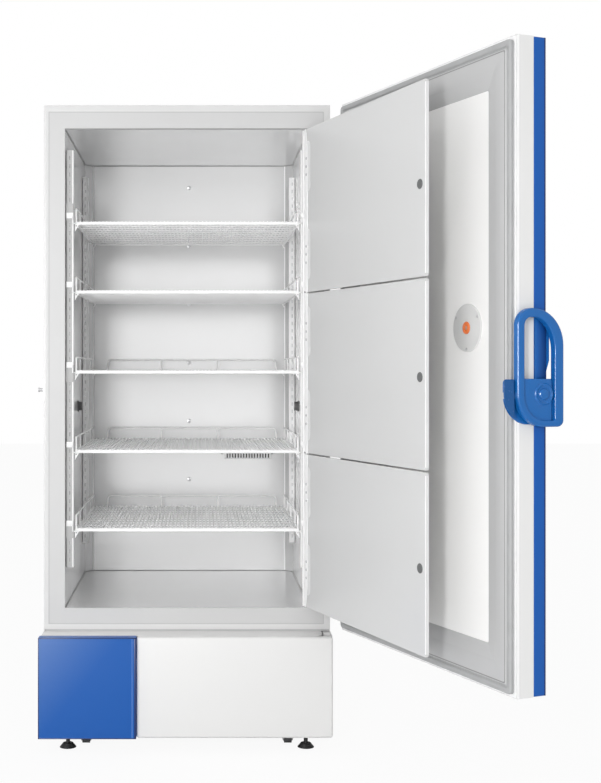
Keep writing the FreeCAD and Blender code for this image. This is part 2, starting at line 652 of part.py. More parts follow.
def inner_door(position):
    """One inner door in its pivot's frame, closed, then swung open by its placement."""
    name = f"inner_door_{position}"
    low, high = INNER_SPANS[position]
    free = f"-{INNER_X} - {WALL} + Dim.inner_left_gap"
    near, far = "Dim.inner_front_gap", "Dim.inner_front_gap + Dim.inner_thick"
    panel = block(name + "_panel", (free, "-Dim.inner_edge"), (near, far), (low, high))
    panel = rounded(
        name + "_rounded", panel, "Dim.inner_corner",
        lambda edge: abs(edge.tangentAt(0).y) > 0.99 and edge.CenterOfMass.x < size(free) + 1,
    )
    solids = [panel]
    for n, middle in enumerate(inner_hinge_heights(position)):
        plate = new_body(f"{name}_leaf_{n}")
        half, wide = "Dim.leaf_tall / 2", "Dim.leaf_wide"
        edge = "-Dim.inner_edge"
        outline = loop_sketch(
            plate, f"{name}_leaf_outline_{n}", "XZ_Plane",
            [[(edge, f"{middle} - Dim.leaf_middle / 2"),
              (edge, f"{middle} + Dim.leaf_middle / 2"),
              (f"{edge} - {wide} * 0.4", f"{middle} + {half}"),
              (f"{edge} - {wide}", f"{middle} + {half}"),
              (f"{edge} - {wide} * 0.75", middle),
              (f"{edge} - {wide}", f"{middle} - {half}"),
              (f"{edge} - {wide} * 0.4", f"{middle} - {half}")]],
            f"-({far})",
        )
        outline.setExpression("AttachmentOffset.Base.z", f"-({far}) - Dim.leaf_thick")
        pad(plate, outline, f"{name}_leaf_pad_{n}", "Dim.leaf_thick")
        web = block(
            f"{name}_leaf_web_{n}",
            ("-Dim.inner_edge - 0.1", "-Dim.inner_edge + Dim.leaf_thick"),
            ("0", f"{far} + Dim.leaf_thick"),
            (f"{middle} - Dim.leaf_middle / 2 + 0.3", f"{middle} + Dim.leaf_middle / 2 - 0.3"),
        )
        barrel = bar(f"{name}_knuckle_{n}", "z",
                     ("0", "0", f"{middle} - Dim.leaf_middle / 2 + 0.3"),
                     "Dim.knuckle_radius", "Dim.leaf_middle - 0.6", 12)
        bore = bar(f"{name}_knuckle_bore_{n}", "z",
                   ("0", "0", f"{middle} - Dim.leaf_middle / 2"),
                   "Dim.knuckle_bore", "Dim.leaf_middle", 12)
        leaf = fuse(f"{name}_leaf_fuse_{n}", [plate, web, barrel])
        solids.append(cut(f"{name}_leaf_bored_{n}", leaf, [bore, panel]))
    strike = peg(f"{name}_strike", "y",
                 (f"{free} + Dim.strike_inset", far, f"({low} + {high}) / 2"),
                 "Dim.strike_radius", "Dim.strike_thick")
    solids.append(strike)
    part(name, group(name + "_set", solids), INNER_PLACE)


def inner_door_frame():
    strip = block(
        "strip", (f"{WALL} - 0.3 - Dim.strip_wide", f"{WALL} - 0.3"),
        (INNER_Y, f"{INNER_Y} + Dim.strip_deep"),
        (f"{CHAMBER_LOW} + Dim.strip_low_gap", f"{CHAMBER_HIGH} - Dim.strip_high_gap"),
    )
    part("hinge_strip", strip)
    solids = []
    for position in INNER_SPANS:
        for n, middle in enumerate(inner_hinge_heights(position)):
            name = f"{position}_frame_leaf_{n}"
            plate = block(
                name + "_plate", (f"{WALL} - 0.3 - Dim.strip_wide", f"{WALL} - 0.3"),
                (f"{INNER_Y} - Dim.leaf_thick", INNER_Y),
                (f"{middle} - Dim.leaf_tall / 2", f"{middle} + Dim.leaf_tall / 2"),
            )
            pieces = [plate, bar(name + "_pin", "z",
                                 (INNER_X, INNER_Y, f"{middle} - Dim.leaf_tall / 2 + 4"),
                                 "Dim.inner_pin_radius", "Dim.leaf_tall - 8", 12)]
            for end in ("low", "high"):
                length = "(Dim.leaf_tall / 2 - Dim.leaf_middle / 2)"
                start = (f"{middle} - Dim.leaf_tall / 2" if end == "low"
                         else f"{middle} + Dim.leaf_middle / 2")
                pieces.append(bar(f"{name}_knuckle_{end}", "z", (INNER_X, INNER_Y, start),
                                  "Dim.knuckle_radius", length, 12))
                pieces.append(block(
                    f"{name}_bridge_{end}",
                    (INNER_X, f"{WALL} - 0.3 - Dim.strip_wide + 0.1"),
                    (f"{INNER_Y} - Dim.leaf_thick", INNER_Y), (start, f"{start} + {length}"),
                ))
            solids.append(fuse(name, pieces))
    part("inner_door_hinges", group("inner_hinge_set", solids))

    catches = []
    for position in INNER_SPANS:
        low, high = INNER_SPANS[position]
        middle = f"({low} + {high}) / 2"
        at = f"-({WALL} - Dim.post_gap - Dim.post_wide / 2)"
        face = behind("Dim.post_back")
        catches.append(block(
            f"{position}_catch_plate", (f"{at} - Dim.catch_wide / 2", f"{at} + Dim.catch_wide / 2"),
            (f"{face} - Dim.catch_deep + 1.4", face),
            (f"{middle} - Dim.catch_tall / 2", f"{middle} + Dim.catch_tall / 2"),
        ))
    part("inner_door_catches", group("inner_catch_set", catches))


HINGE_X = f"({RIGHT} + Dim.hinge_out)"
HINGE_Y = f"({FRONT} + Dim.hinge_back)"
DOOR_PLACE = {
    "Placement.Base.x": HINGE_X, "Placement.Base.y": HINGE_Y,
    "Placement.Rotation.Angle": "Dim.door_open_angle",
}
DOOR_LEFT = "(-Dim.cabinet_width - Dim.hinge_out)"
DOOR_RIGHT = "(-Dim.hinge_out)"
DOOR_INNER = "(-Dim.hinge_back - Dim.gasket_gap)"
DOOR_OUTER = f"({DOOR_INNER} - Dim.pan_deep)"
DOOR_LOW = "(Dim.cabinet_bottom + Dim.door_low_gap)"
DOOR_HIGH = "(Dim.cabinet_top - Dim.door_low_gap)"
HINGES = ["Dim.cabinet_bottom + Dim.hinge_low", "Dim.hinge_middle",
          "Dim.cabinet_top - Dim.hinge_high"]


def door_part(name, item):
    return part(name, item, DOOR_PLACE)


def inset_box(name, inset, near, far):
    """A box of the door's outline drawn in by an inset, between two depths."""
    return block(
        name, (f"{DOOR_LEFT} + {inset}", f"{DOOR_RIGHT} - {inset}"), (near, far),
        (f"{DOOR_LOW} + {inset}", f"{DOOR_HIGH} - {inset}"),
    )


def tapered_frame(name, stations):
    """A lofted block whose section narrows from station to station, each (inset, depth)."""
    sections = []
    for inset, depth in stations:
        left, right = size(f"{DOOR_LEFT} + {inset}"), size(f"{DOOR_RIGHT} - {inset}")
        low, high = size(f"{DOOR_LOW} + {inset}"), size(f"{DOOR_HIGH} - {inset}")
        y = size(depth)
        corners = [(left, low), (right, low), (right, high), (left, high), (left, low)]
        sections.append(Part.makePolygon([FreeCAD.Vector(x, y, z) for x, z in corners]))
    return Part.makeLoft(sections, True, True)


def door_port_disc(name, radius, near, length):
    centre = f"{DOOR_LEFT} + Dim.port_centre"
    return rod(name, "y", (centre, near, "Dim.door_port_height"), radius, length)


def outer_door():
    pan = inset_box("pan_block", "0", DOOR_OUTER, DOOR_INNER)
    hollow = inset_box("pan_hollow", "Dim.door_skin", f"{DOOR_OUTER} + Dim.door_skin",
                       f"{DOOR_INNER} + 1")
    return_flange = inset_box("pan_flange", "0", f"{DOOR_INNER} - Dim.door_skin", DOOR_INNER)
    window = inset_box("pan_window", "Dim.door_border + Dim.gasket_wide * 0.5",
                       f"{DOOR_INNER} - 3", f"{DOOR_INNER} + 1")
    flange = cut("pan_flange_open", return_flange, [window])
    shell = cut("pan_shell", pan, [hollow])
    door_part("door_pan", fuse("pan", [shell, flange]))

    foam_back = f"{DOOR_INNER} - Dim.door_skin"
    foam = inset_box("door_foam_block", "Dim.door_skin", f"{DOOR_OUTER} + Dim.door_skin",
                     foam_back)
    door_part("door_foam", group("door_foam_pour", [foam]))

    rim_inset = "(Dim.door_border + Dim.gasket_wide * 0.5)"
    plug_inset = "Dim.plug_edge"
    inner_inset = "(Dim.plug_edge + Dim.plug_draft + Dim.plug_ring)"
    floor_inset = f"({inner_inset} + Dim.recess_bevel)"
    crown = f"{DOOR_INNER} + Dim.plug_rise"
    bottom = f"{crown} - Dim.recess_deep"
    liner = tapered_frame("plug", [
        (plug_inset, f"{DOOR_INNER}"), (f"{plug_inset} + Dim.plug_draft", crown)])
    base = tapered_frame("base", [
        (rim_inset, f"{foam_back}"), (rim_inset, f"{DOOR_INNER}")])
    recess = tapered_frame("recess", [
        (floor_inset, bottom), (inner_inset, f"{crown}")])
    mouth = tapered_frame("mouth", [(inner_inset, crown), (inner_inset, f"{crown} + 2")])
    shape = liner.fuse(base).cut(recess).cut(mouth).removeSplitter()
    item = doc.addObject("Part::Feature", "door_liner_sheet")
    item.Shape = shape
    door_part("door_liner", item)

    outer = inset_box("gasket_outer", "Dim.door_border", DOOR_INNER,
                      f"{DOOR_INNER} + Dim.gasket_gap - Dim.gasket_free")
    inner = inset_box("gasket_inner", "Dim.door_border + Dim.gasket_wide",
                      f"{DOOR_INNER} - 1", f"{DOOR_INNER} + Dim.gasket_gap + 1")
    groove_outer = inset_box("groove_outer", "Dim.door_border + Dim.gasket_wide * 0.36",
                             f"{DOOR_INNER} + Dim.gasket_gap * 0.6",
                             f"{DOOR_INNER} + Dim.gasket_gap + 1")
    groove_inner = inset_box("groove_inner", "Dim.door_border + Dim.gasket_wide * 0.64",
                             f"{DOOR_INNER} + Dim.gasket_gap * 0.5",
                             f"{DOOR_INNER} + Dim.gasket_gap + 2")
    groove = cut("gasket_groove", groove_outer, [groove_inner])
    door_part("door_gasket", cut("gasket", outer, [inner, groove]))

    split = f"({DOOR_LEFT} + Dim.blue_share)"
    blue = block("blue_block", (DOOR_LEFT, split), (f"{DOOR_OUTER} - Dim.blue_deep", DOOR_OUTER),
                 (DOOR_LOW, DOOR_HIGH))
    front_y = f"{DOOR_OUTER} - Dim.blue_deep"
    blue = rounded(
        "blue_rounded", blue, "Dim.front_edge",
        lambda edge: edge.CenterOfMass.y < size(front_y) + 1,
    )
    door_part("door_front_blue", blue)
    white = block("white_block", (f"{split} + Dim.panel_split", DOOR_RIGHT),
                  (f"{DOOR_OUTER} - Dim.white_deep", DOOR_OUTER), (DOOR_LOW, DOOR_HIGH))
    white_y = f"{DOOR_OUTER} - Dim.white_deep"
    white = rounded(
        "white_rounded", white, "Dim.front_edge",
        lambda edge: edge.CenterOfMass.y < size(white_y) + 1,
    )
    door_part("door_front_white", white)

    middle = f"({DOOR_LEFT} + Dim.display_centre)"
    face = f"{front_y}"
    bezel = block(
        "display_block", (f"{middle} - Dim.display_wide / 2", f"{middle} + Dim.display_wide / 2"),
        (f"{face} - Dim.display_deep", face),
        ("Dim.display_height - Dim.display_tall / 2", "Dim.display_height + Dim.display_tall / 2"),
    )
    door_part("display_panel", rounded("display_rounded", bezel, "Dim.display_corner",
                                       lambda edge: abs(edge.tangentAt(0).y) > 0.99))

    seat = f"{bottom}"
    plate = door_port_disc("port_disc", "Dim.plate_radius", seat, "Dim.plate_thick")
    plate_bore = door_port_disc("port_disc_bore", "Dim.plug_radius + 0.4", f"{seat} - 1",
                                "Dim.plate_thick + 2")
    door_part("port_plate", cut("port_ring", plate, [plate_bore]))
    plug = door_port_disc("plug_body", "Dim.plug_radius", seat, "Dim.plate_thick + 0.5")
    head = door_port_disc("plug_head_disc", "Dim.plug_radius * 1.12",
                          f"{seat} + Dim.plate_thick", "Dim.plug_head - Dim.plate_thick")
    slot = block(
        "plug_slot",
        (f"{DOOR_LEFT} + Dim.port_centre - Dim.plug_slot_wide / 2",
         f"{DOOR_LEFT} + Dim.port_centre + Dim.plug_slot_wide / 2"),
        (f"{seat} + Dim.plug_head - 3", f"{seat} + Dim.plug_head + 1"),
        ("Dim.door_port_height - Dim.plug_slot_tall / 2",
         "Dim.door_port_height + Dim.plug_slot_tall / 2"),
    )
    door_part("port_plug", cut("plug", fuse("plug_turned", [plug, head]), [slot]))


def door_hinges():
    """Three barrel hinges outside the right wall: a leaf on the cabinet, a pin, a leaf on the door."""
    fixed, moving = [], []
    for n, height in enumerate(HINGES):
        low = f"({height} - Dim.hinge_tall / 2)"
        half = "Dim.hinge_tall / 2"
        leaf = block(
            f"cabinet_leaf_{n}", (RIGHT, f"{RIGHT} + Dim.hinge_leaf"),
            (f"{HINGE_Y} + 4", f"{HINGE_Y} + Dim.hinge_leaf_long"),
            (low, f"{low} + Dim.hinge_tall"),
        )
        arm = block(
            f"cabinet_arm_{n}", (RIGHT, HINGE_X), (f"{HINGE_Y} + 4", f"{HINGE_Y} + 7"),
            (low, f"{low} + {half} - 1"),
        )
        barrel = peg(f"cabinet_barrel_{n}", "z", (HINGE_X, HINGE_Y, low), "Dim.barrel_radius",
                     f"{half} - 1")
        bore = peg(f"cabinet_bore_{n}", "z", (HINGE_X, HINGE_Y, f"{low} + 6"), "Dim.barrel_pin",
                   half)
        fixed.append(cut(f"cabinet_hinge_{n}", fuse(f"cabinet_hinge_body_{n}",
                                                    [leaf, arm, barrel]), [bore]))
        fixed.append(peg(f"hinge_pin_{n}", "z", (HINGE_X, HINGE_Y, f"{low} + 6"),
                         "Dim.barrel_pin", "Dim.hinge_tall - 12"))
        upper = f"{low} + {half}"
        plate = block(
            f"door_leaf_{n}", (DOOR_RIGHT, f"{DOOR_RIGHT} + Dim.hinge_leaf"),
            (f"{DOOR_OUTER} + 4", f"{DOOR_INNER} - 2"), (upper, f"{upper} + {half}"),
        )
        link = block(
            f"door_arm_{n}", (DOOR_RIGHT, "0"), (f"{DOOR_INNER} - 5", f"{DOOR_INNER} - 2"),
            (upper, f"{upper} + {half}"),
        )
        tongue = block(
            f"door_tongue_{n}", ("-3", "0"), (f"{DOOR_INNER} - 5", "0"),
            (upper, f"{upper} + {half}"),
        )
        socket = peg(f"door_barrel_{n}", "z", ("0", "0", upper), "Dim.barrel_radius", half)
        well = peg(f"door_bore_{n}", "z", ("0", "0", f"{upper} - 1"), "Dim.barrel_bore",
                   f"{half} - 4")
        moving.append(cut(f"door_hinge_{n}", fuse(f"door_hinge_body_{n}",
                                                  [plate, link, tongue, socket]), [well]))
    part("door_hinges_cabinet", group("door_hinge_fixed", fixed))
    door_part("door_hinges_door", group("door_hinge_moving", moving))


def beside(amount):
    """A place this far out from the free edge of the closed door."""
    return f"({DOOR_LEFT} - ({amount}))"


def ahead(amount):
    """A place this far in front of the inner face of the closed door."""
    return f"({DOOR_INNER} - ({amount}))"


def corner_radii(edge, corners):
    """The radius for a straight edge across the lever, by which corner it stands nearest."""
    if abs(edge.tangentAt(edge.FirstParameter).x) < 0.99:
        return 0
    middle = edge.CenterOfMass
    for y, z, radius in corners:
        if abs(middle.y - size(y)) < 0.5 and abs(middle.z - size(z)) < 0.5:
            return size(radius)
    return 0


def rounded_corners(name, base, corners):
    doc.recompute()
    item = doc.addObject("Part::Fillet", name)
    item.Base = base
    chosen = []
    for n, edge in enumerate(base.Shape.Edges, 1):
        radius = corner_radii(edge, corners)
        if radius:
            chosen.append((n, radius, radius))
    item.Edges = chosen
    return item


(LEVER_LOW, LEVER_HIGH, WINDOW_LOW, WINDOW_HIGH, BOSS_HEIGHT, HOUSING_LOW, HOUSING_HIGH,
 GUARD_WAIST, GUARD_SHOULDER, GUARD_HIGH) = (f"(Dim.keeper_height + Dim.{word})" for word in (
     "lever_low", "lever_high", "lever_window_low", "lever_window_high", "boss_height",
     "housing_low", "housing_high", "guard_waist", "guard_shoulder", "guard_high"))


def latch():
    """The loop lever, its pivot and hook, the housing on the door's edge and the keeper."""
    near, far = ahead("-Dim.lever_inner"), ahead("Dim.lever_outer")
    window_near, window_far = ahead("Dim.lever_window_near"), ahead("Dim.lever_window_far")
    pivot_y = ahead("Dim.boss_reach")
    outer_x = beside("Dim.lever_gap + Dim.lever_thick")
    plate = block("lever_block", (outer_x, beside("Dim.lever_gap")), (far, near),
                  (LEVER_LOW, LEVER_HIGH))
    window = block("lever_window", (f"{outer_x} - 1", beside("Dim.lever_gap - 1")),
                   (window_far, window_near), (WINDOW_LOW, WINDOW_HIGH))
    loop = rounded_corners("lever_loop", cut("lever_cut", plate, [window]), [
        (far, LEVER_HIGH, "Dim.lever_crown"), (near, LEVER_HIGH, "Dim.lever_brow"),
        (near, LEVER_LOW, "Dim.lever_heel"), (far, LEVER_LOW, "Dim.lever_toe"),
        (window_far, WINDOW_HIGH, "Dim.window_crown"),
        (window_near, WINDOW_HIGH, "Dim.window_brow"),
        (window_far, WINDOW_LOW, "Dim.window_toe"),
        (window_near, WINDOW_LOW, "Dim.window_heel"),
    ])
    face = size(outer_x)
    soft = rounded("lever_soft", loop, "Dim.lever_bevel",
                   lambda edge: abs(edge.CenterOfMass.x - face) < 0.01, "Chamfer")
    centre = (f"{outer_x} - Dim.boss_rise", pivot_y, BOSS_HEIGHT)
    boss = cone("lever_boss", "x", centre, "Dim.boss_radius - 3", "Dim.boss_radius",
                "Dim.boss_rise + 1")
    cap = rod("lever_cap", "x", (f"{outer_x} - Dim.boss_rise - 3", pivot_y, BOSS_HEIGHT),
              "Dim.boss_cap", "Dim.boss_rise")
    bore = peg("lever_bore", "x", (f"{outer_x} + 4", pivot_y, BOSS_HEIGHT),
               "Dim.pivot_bore", "Dim.lever_thick")
    door_part("handle_lever", cut("lever", fuse("lever_moulded", [soft, boss, cap]), [bore]))

    hook_x = (beside("Dim.lever_gap"), beside("Dim.lever_gap - Dim.hook_thick"))
    stud_y = ahead("-Dim.gasket_gap - Dim.keeper_back")
    disc = peg("hook_disc", "x", (hook_x[0], pivot_y, BOSS_HEIGHT), "Dim.pivot_radius + 10",
               "Dim.hook_thick")
    reach = f"{stud_y} + Dim.keeper_stud + 1 + Dim.hook_width"
    crown = "Dim.keeper_height + Dim.keeper_head + 2"
    arm = block("hook_arm", hook_x, (pivot_y, reach), (crown, f"{crown} + Dim.hook_width"))
    tip = block("hook_tip", hook_x, (f"{reach} - Dim.hook_width", reach),
                ("Dim.keeper_height - Dim.keeper_stud", f"{crown} + 1"))
    hook_bore = peg("hook_bore", "x", (f"{hook_x[0]} - 1", pivot_y, BOSS_HEIGHT),
                    "Dim.pivot_bore", "Dim.hook_thick + 2")
    door_part("latch_hook", cut("hook", fuse("hook_plate", [disc, arm, tip]), [hook_bore]))

    gap = "Dim.housing_gap"
    plate_out = "Dim.lever_gap - Dim.hook_thick - 0.5"
    base = block(
        "housing_plate", (beside(plate_out), beside(gap)),
        (ahead("Dim.housing_far"), ahead("-Dim.housing_near")),
        (HOUSING_LOW, HOUSING_HIGH),
    )
    cover = block(
        "housing_cover", (beside("Dim.lever_gap + 4"), beside(gap)),
        (ahead("-Dim.lever_inner - 1"), ahead("-Dim.housing_near")),
        (HOUSING_LOW, HOUSING_HIGH),
    )
    cavity = block(
        "housing_cavity", (beside("Dim.lever_gap + 1.5"), beside(plate_out)),
        (ahead("Dim.housing_far + 1"), ahead("-Dim.housing_near + 1.6")),
        (f"{HOUSING_LOW} + 2", f"{HOUSING_HIGH} + 1"),
    )
    entry = block(
        "housing_entry", (beside("Dim.lever_gap + 6"), beside("-1")),
        (ahead("-Dim.lever_inner - 2"), ahead("-Dim.housing_near - 1")),
        ("Dim.keeper_height - Dim.keeper_stud - 2.5", "Dim.keeper_height + Dim.keeper_stud + 2.5"),
    )
    relief = block(
        "housing_relief", (beside("Dim.keeper_plate_thick + 0.6"), beside("-1")),
        (ahead("-1"), ahead("-Dim.housing_near - 1")),
        (f"{HOUSING_LOW} - 1", f"{HOUSING_HIGH} + 1"),
    )
    shell = rounded_corners("housing_shell", fuse("housing_blocks", [base, cover]), [
        (ahead("-Dim.housing_near"), HOUSING_LOW, "Dim.housing_heel"),
        (ahead("-Dim.housing_near"), HOUSING_HIGH, "Dim.housing_brow"),
        (ahead("Dim.housing_far"), HOUSING_LOW, "Dim.housing_toe"),
    ])
    hollow = cut("housing_hollow", shell, [cavity, entry, relief])
    stem = peg("pivot_stem", "x", (beside("Dim.lever_gap + Dim.lever_thick - 5"), pivot_y,
                                   BOSS_HEIGHT),
               "Dim.pivot_radius", "Dim.lever_gap + Dim.lever_thick - 5")
    guard = new_body("finger_guard")
    step = ahead("Dim.guard_far - Dim.guard_step")
    outline = loop_sketch(
        guard, "guard_outline", "YZ_Plane",
        [[(ahead("Dim.guard_near"), f"{HOUSING_HIGH} - 1"), (step, f"{HOUSING_HIGH} - 1"),
          (step, GUARD_WAIST), (ahead("Dim.guard_far"), GUARD_SHOULDER),
          (ahead("Dim.guard_far"), GUARD_HIGH), (ahead("Dim.guard_near"), GUARD_HIGH)]],
        beside("Dim.guard_out"),
    )
    pad(guard, outline, "guard_pad", f"Dim.guard_out - {gap}")
    door_part("latch_housing", fuse("housing_with_stem", [hollow, stem, guard]))

    keeper_y = behind("Dim.keeper_back")
    keeper = block(
        "keeper_plate", (f"{LEFT} - Dim.keeper_plate_thick", LEFT),
        (f"{FRONT} + 1", f"{FRONT} + 1 + Dim.keeper_plate_wide"),
        ("Dim.keeper_height - Dim.keeper_plate_tall / 2",
         "Dim.keeper_height + Dim.keeper_plate_tall / 2"),
    )
    stud = peg("keeper_shank", "x", (f"{LEFT} - Dim.keeper_long", keeper_y, "Dim.keeper_height"),
               "Dim.keeper_stud", "Dim.keeper_long - Dim.keeper_plate_thick")
    head = peg("keeper_head", "x", (f"{LEFT} - Dim.keeper_long", keeper_y, "Dim.keeper_height"),
               "Dim.keeper_head", "Dim.keeper_head_thick")
    part("door_keeper", group("keeper_set", [keeper, fuse("keeper_stud", [stud, head])]))


BASE_FRONT = f"({FRONT} - Dim.base_front)"
CHASSIS_FRONT = f"({FRONT} - Dim.base_front + Dim.panel_return)"


def folded_panel(name, across, front, far, radius):
    """A front panel: a face with returns folded back at both sides, its corners rounded."""
    low, high = "Dim.base_bottom", "Dim.base_panel_top"
    outer = block(name + "_outer", across, (front, far), (low, high))
    outer = rounded(name + "_round", outer, radius, lambda edge: (
        upright(edge) and edge.CenterOfMass.y < size(front) + 1))
    inner = block(
        name + "_inner", (f"{across[0]} + Dim.panel_sheet", f"{across[1]} - Dim.panel_sheet"),
        (f"{front} + Dim.panel_sheet", f"{far} + 1"),
        (f"{low} + Dim.panel_sheet", f"{high} - Dim.panel_sheet"),
    )
    inner = rounded(name + "_inner_round", inner, f"{radius} - Dim.panel_sheet", lambda edge: (
        upright(edge) and edge.CenterOfMass.y < size(front) + 3))
    return cut(name, outer, [inner])


def base():
    blue_left = f"{LEFT} - Dim.base_blue_side"
    split = f"({blue_left} + Dim.base_blue_wide)"
    far = f"{CHASSIS_FRONT} - Dim.panel_clear"
    blue = folded_panel("blue_base", (blue_left, split), f"{FRONT} - Dim.base_blue_front", far,
                        "Dim.blue_round")
    part("base_panel_blue", blue)
    white = folded_panel("white_base", (f"{split} + Dim.panel_clear", RIGHT), BASE_FRONT, far,
                         "Dim.panel_round")
    part("base_panel_white", white)

    metal = "Dim.chassis_sheet"
    low, high = "Dim.base_bottom", "Dim.cabinet_bottom"
    floor = block("chassis_floor", (LEFT, RIGHT), (CHASSIS_FRONT, BACK), (low, f"{low} + {metal}"))
    walls = []
    for side, across in (("left", (LEFT, f"{LEFT} + {metal}")),
                         ("right", (f"{RIGHT} - {metal}", RIGHT))):
        walls.append(block(f"chassis_{side}", across, (FRONT, BACK), (low, high)))
        walls.append(block(f"chassis_{side}_front", across, (CHASSIS_FRONT, FRONT),
                           (low, "Dim.ledge_top")))
    rail = block("chassis_rail", (LEFT, RIGHT), (FRONT, f"{FRONT} + {metal}"),
                 ("Dim.ledge_top - Dim.ledge_thick - Dim.rail_tall", "Dim.ledge_top - Dim.ledge_thick"))
    rear_rail = block("chassis_rear_rail", (LEFT, RIGHT), (f"{BACK} - 30", f"{BACK} - 28"),
                      (f"{high} - 24", high))
    holes = []
    for sign in ("-1", "1"):
        side = "left" if sign == "-1" else "right"
        holes.append(peg(f"foot_hole_{side}", "z",
                         (f"{sign} * Dim.foot_across", behind("-Dim.foot_ahead"), f"{low} - 1"),
                         "Dim.foot_stem + 0.4", f"{metal} + 2"))
        holes.append(peg(f"caster_hole_{side}", "z",
                         (f"{sign} * Dim.caster_across", behind("Dim.caster_front"),
                          f"{low} - 1"), "Dim.swivel_radius + 0.4", f"{metal} + 2"))
    chassis = cut("chassis", fuse("chassis_welded", [floor, *walls, rail, rear_rail]), holes)
    part("base_chassis", chassis)

    ledge = block("ledge_plate", (f"{LEFT} + {metal}", "Dim.ledge_right"),
                  (CHASSIS_FRONT, f"{FRONT} + 12"),
                  ("Dim.ledge_top - Dim.ledge_thick", "Dim.ledge_top"))
    ledge = rounded("ledge_rounded", ledge, "Dim.ledge_round", lambda edge: (
        upright(edge) and edge.CenterOfMass.x > 0 and edge.CenterOfMass.y < size(FRONT)))
    hinge_block = block("ledge_block", (f"{RIGHT} - 22", f"{RIGHT} - {metal}"),
                        (f"{FRONT} - 30", f"{FRONT} - 4"), ("Dim.ledge_top - 20", "Dim.ledge_top"))
    part("base_ledge", group("ledge_set", [ledge, hinge_block]))

    body = new_body("grille_body")
    outline = loop_sketch(body, "grille_outline", "XZ_Plane", [rectangle(
        f"{LEFT} + {metal}", f"{RIGHT} - {metal}", f"{low} + {metal}", high)], f"-{BACK}")
    pad(body, outline, "grille_pad", "Dim.grille_thick")
    columns = []
    for centre in ("-Dim.grille_half / 2", "Dim.grille_half / 2"):
        columns.append(rectangle(f"{centre} - Dim.louvre_half", f"{centre} + Dim.louvre_half",
                                 "Dim.grille_low", "Dim.grille_low + Dim.louvre_tall"))
    slots = loop_sketch(body, "grille_slots", "XZ_Plane", columns,
                        f"-{BACK} + Dim.grille_thick + 1")
    hole = pocket(body, slots, "grille_pocket", "Dim.grille_thick + 2")
    repeat(body, hole, "grille_rows", slots, "V_Axis",
           "Dim.louvre_pitch * (Dim.louvre_count - 1)", "Dim.louvre_count")
    part("rear_vent_grille", body)


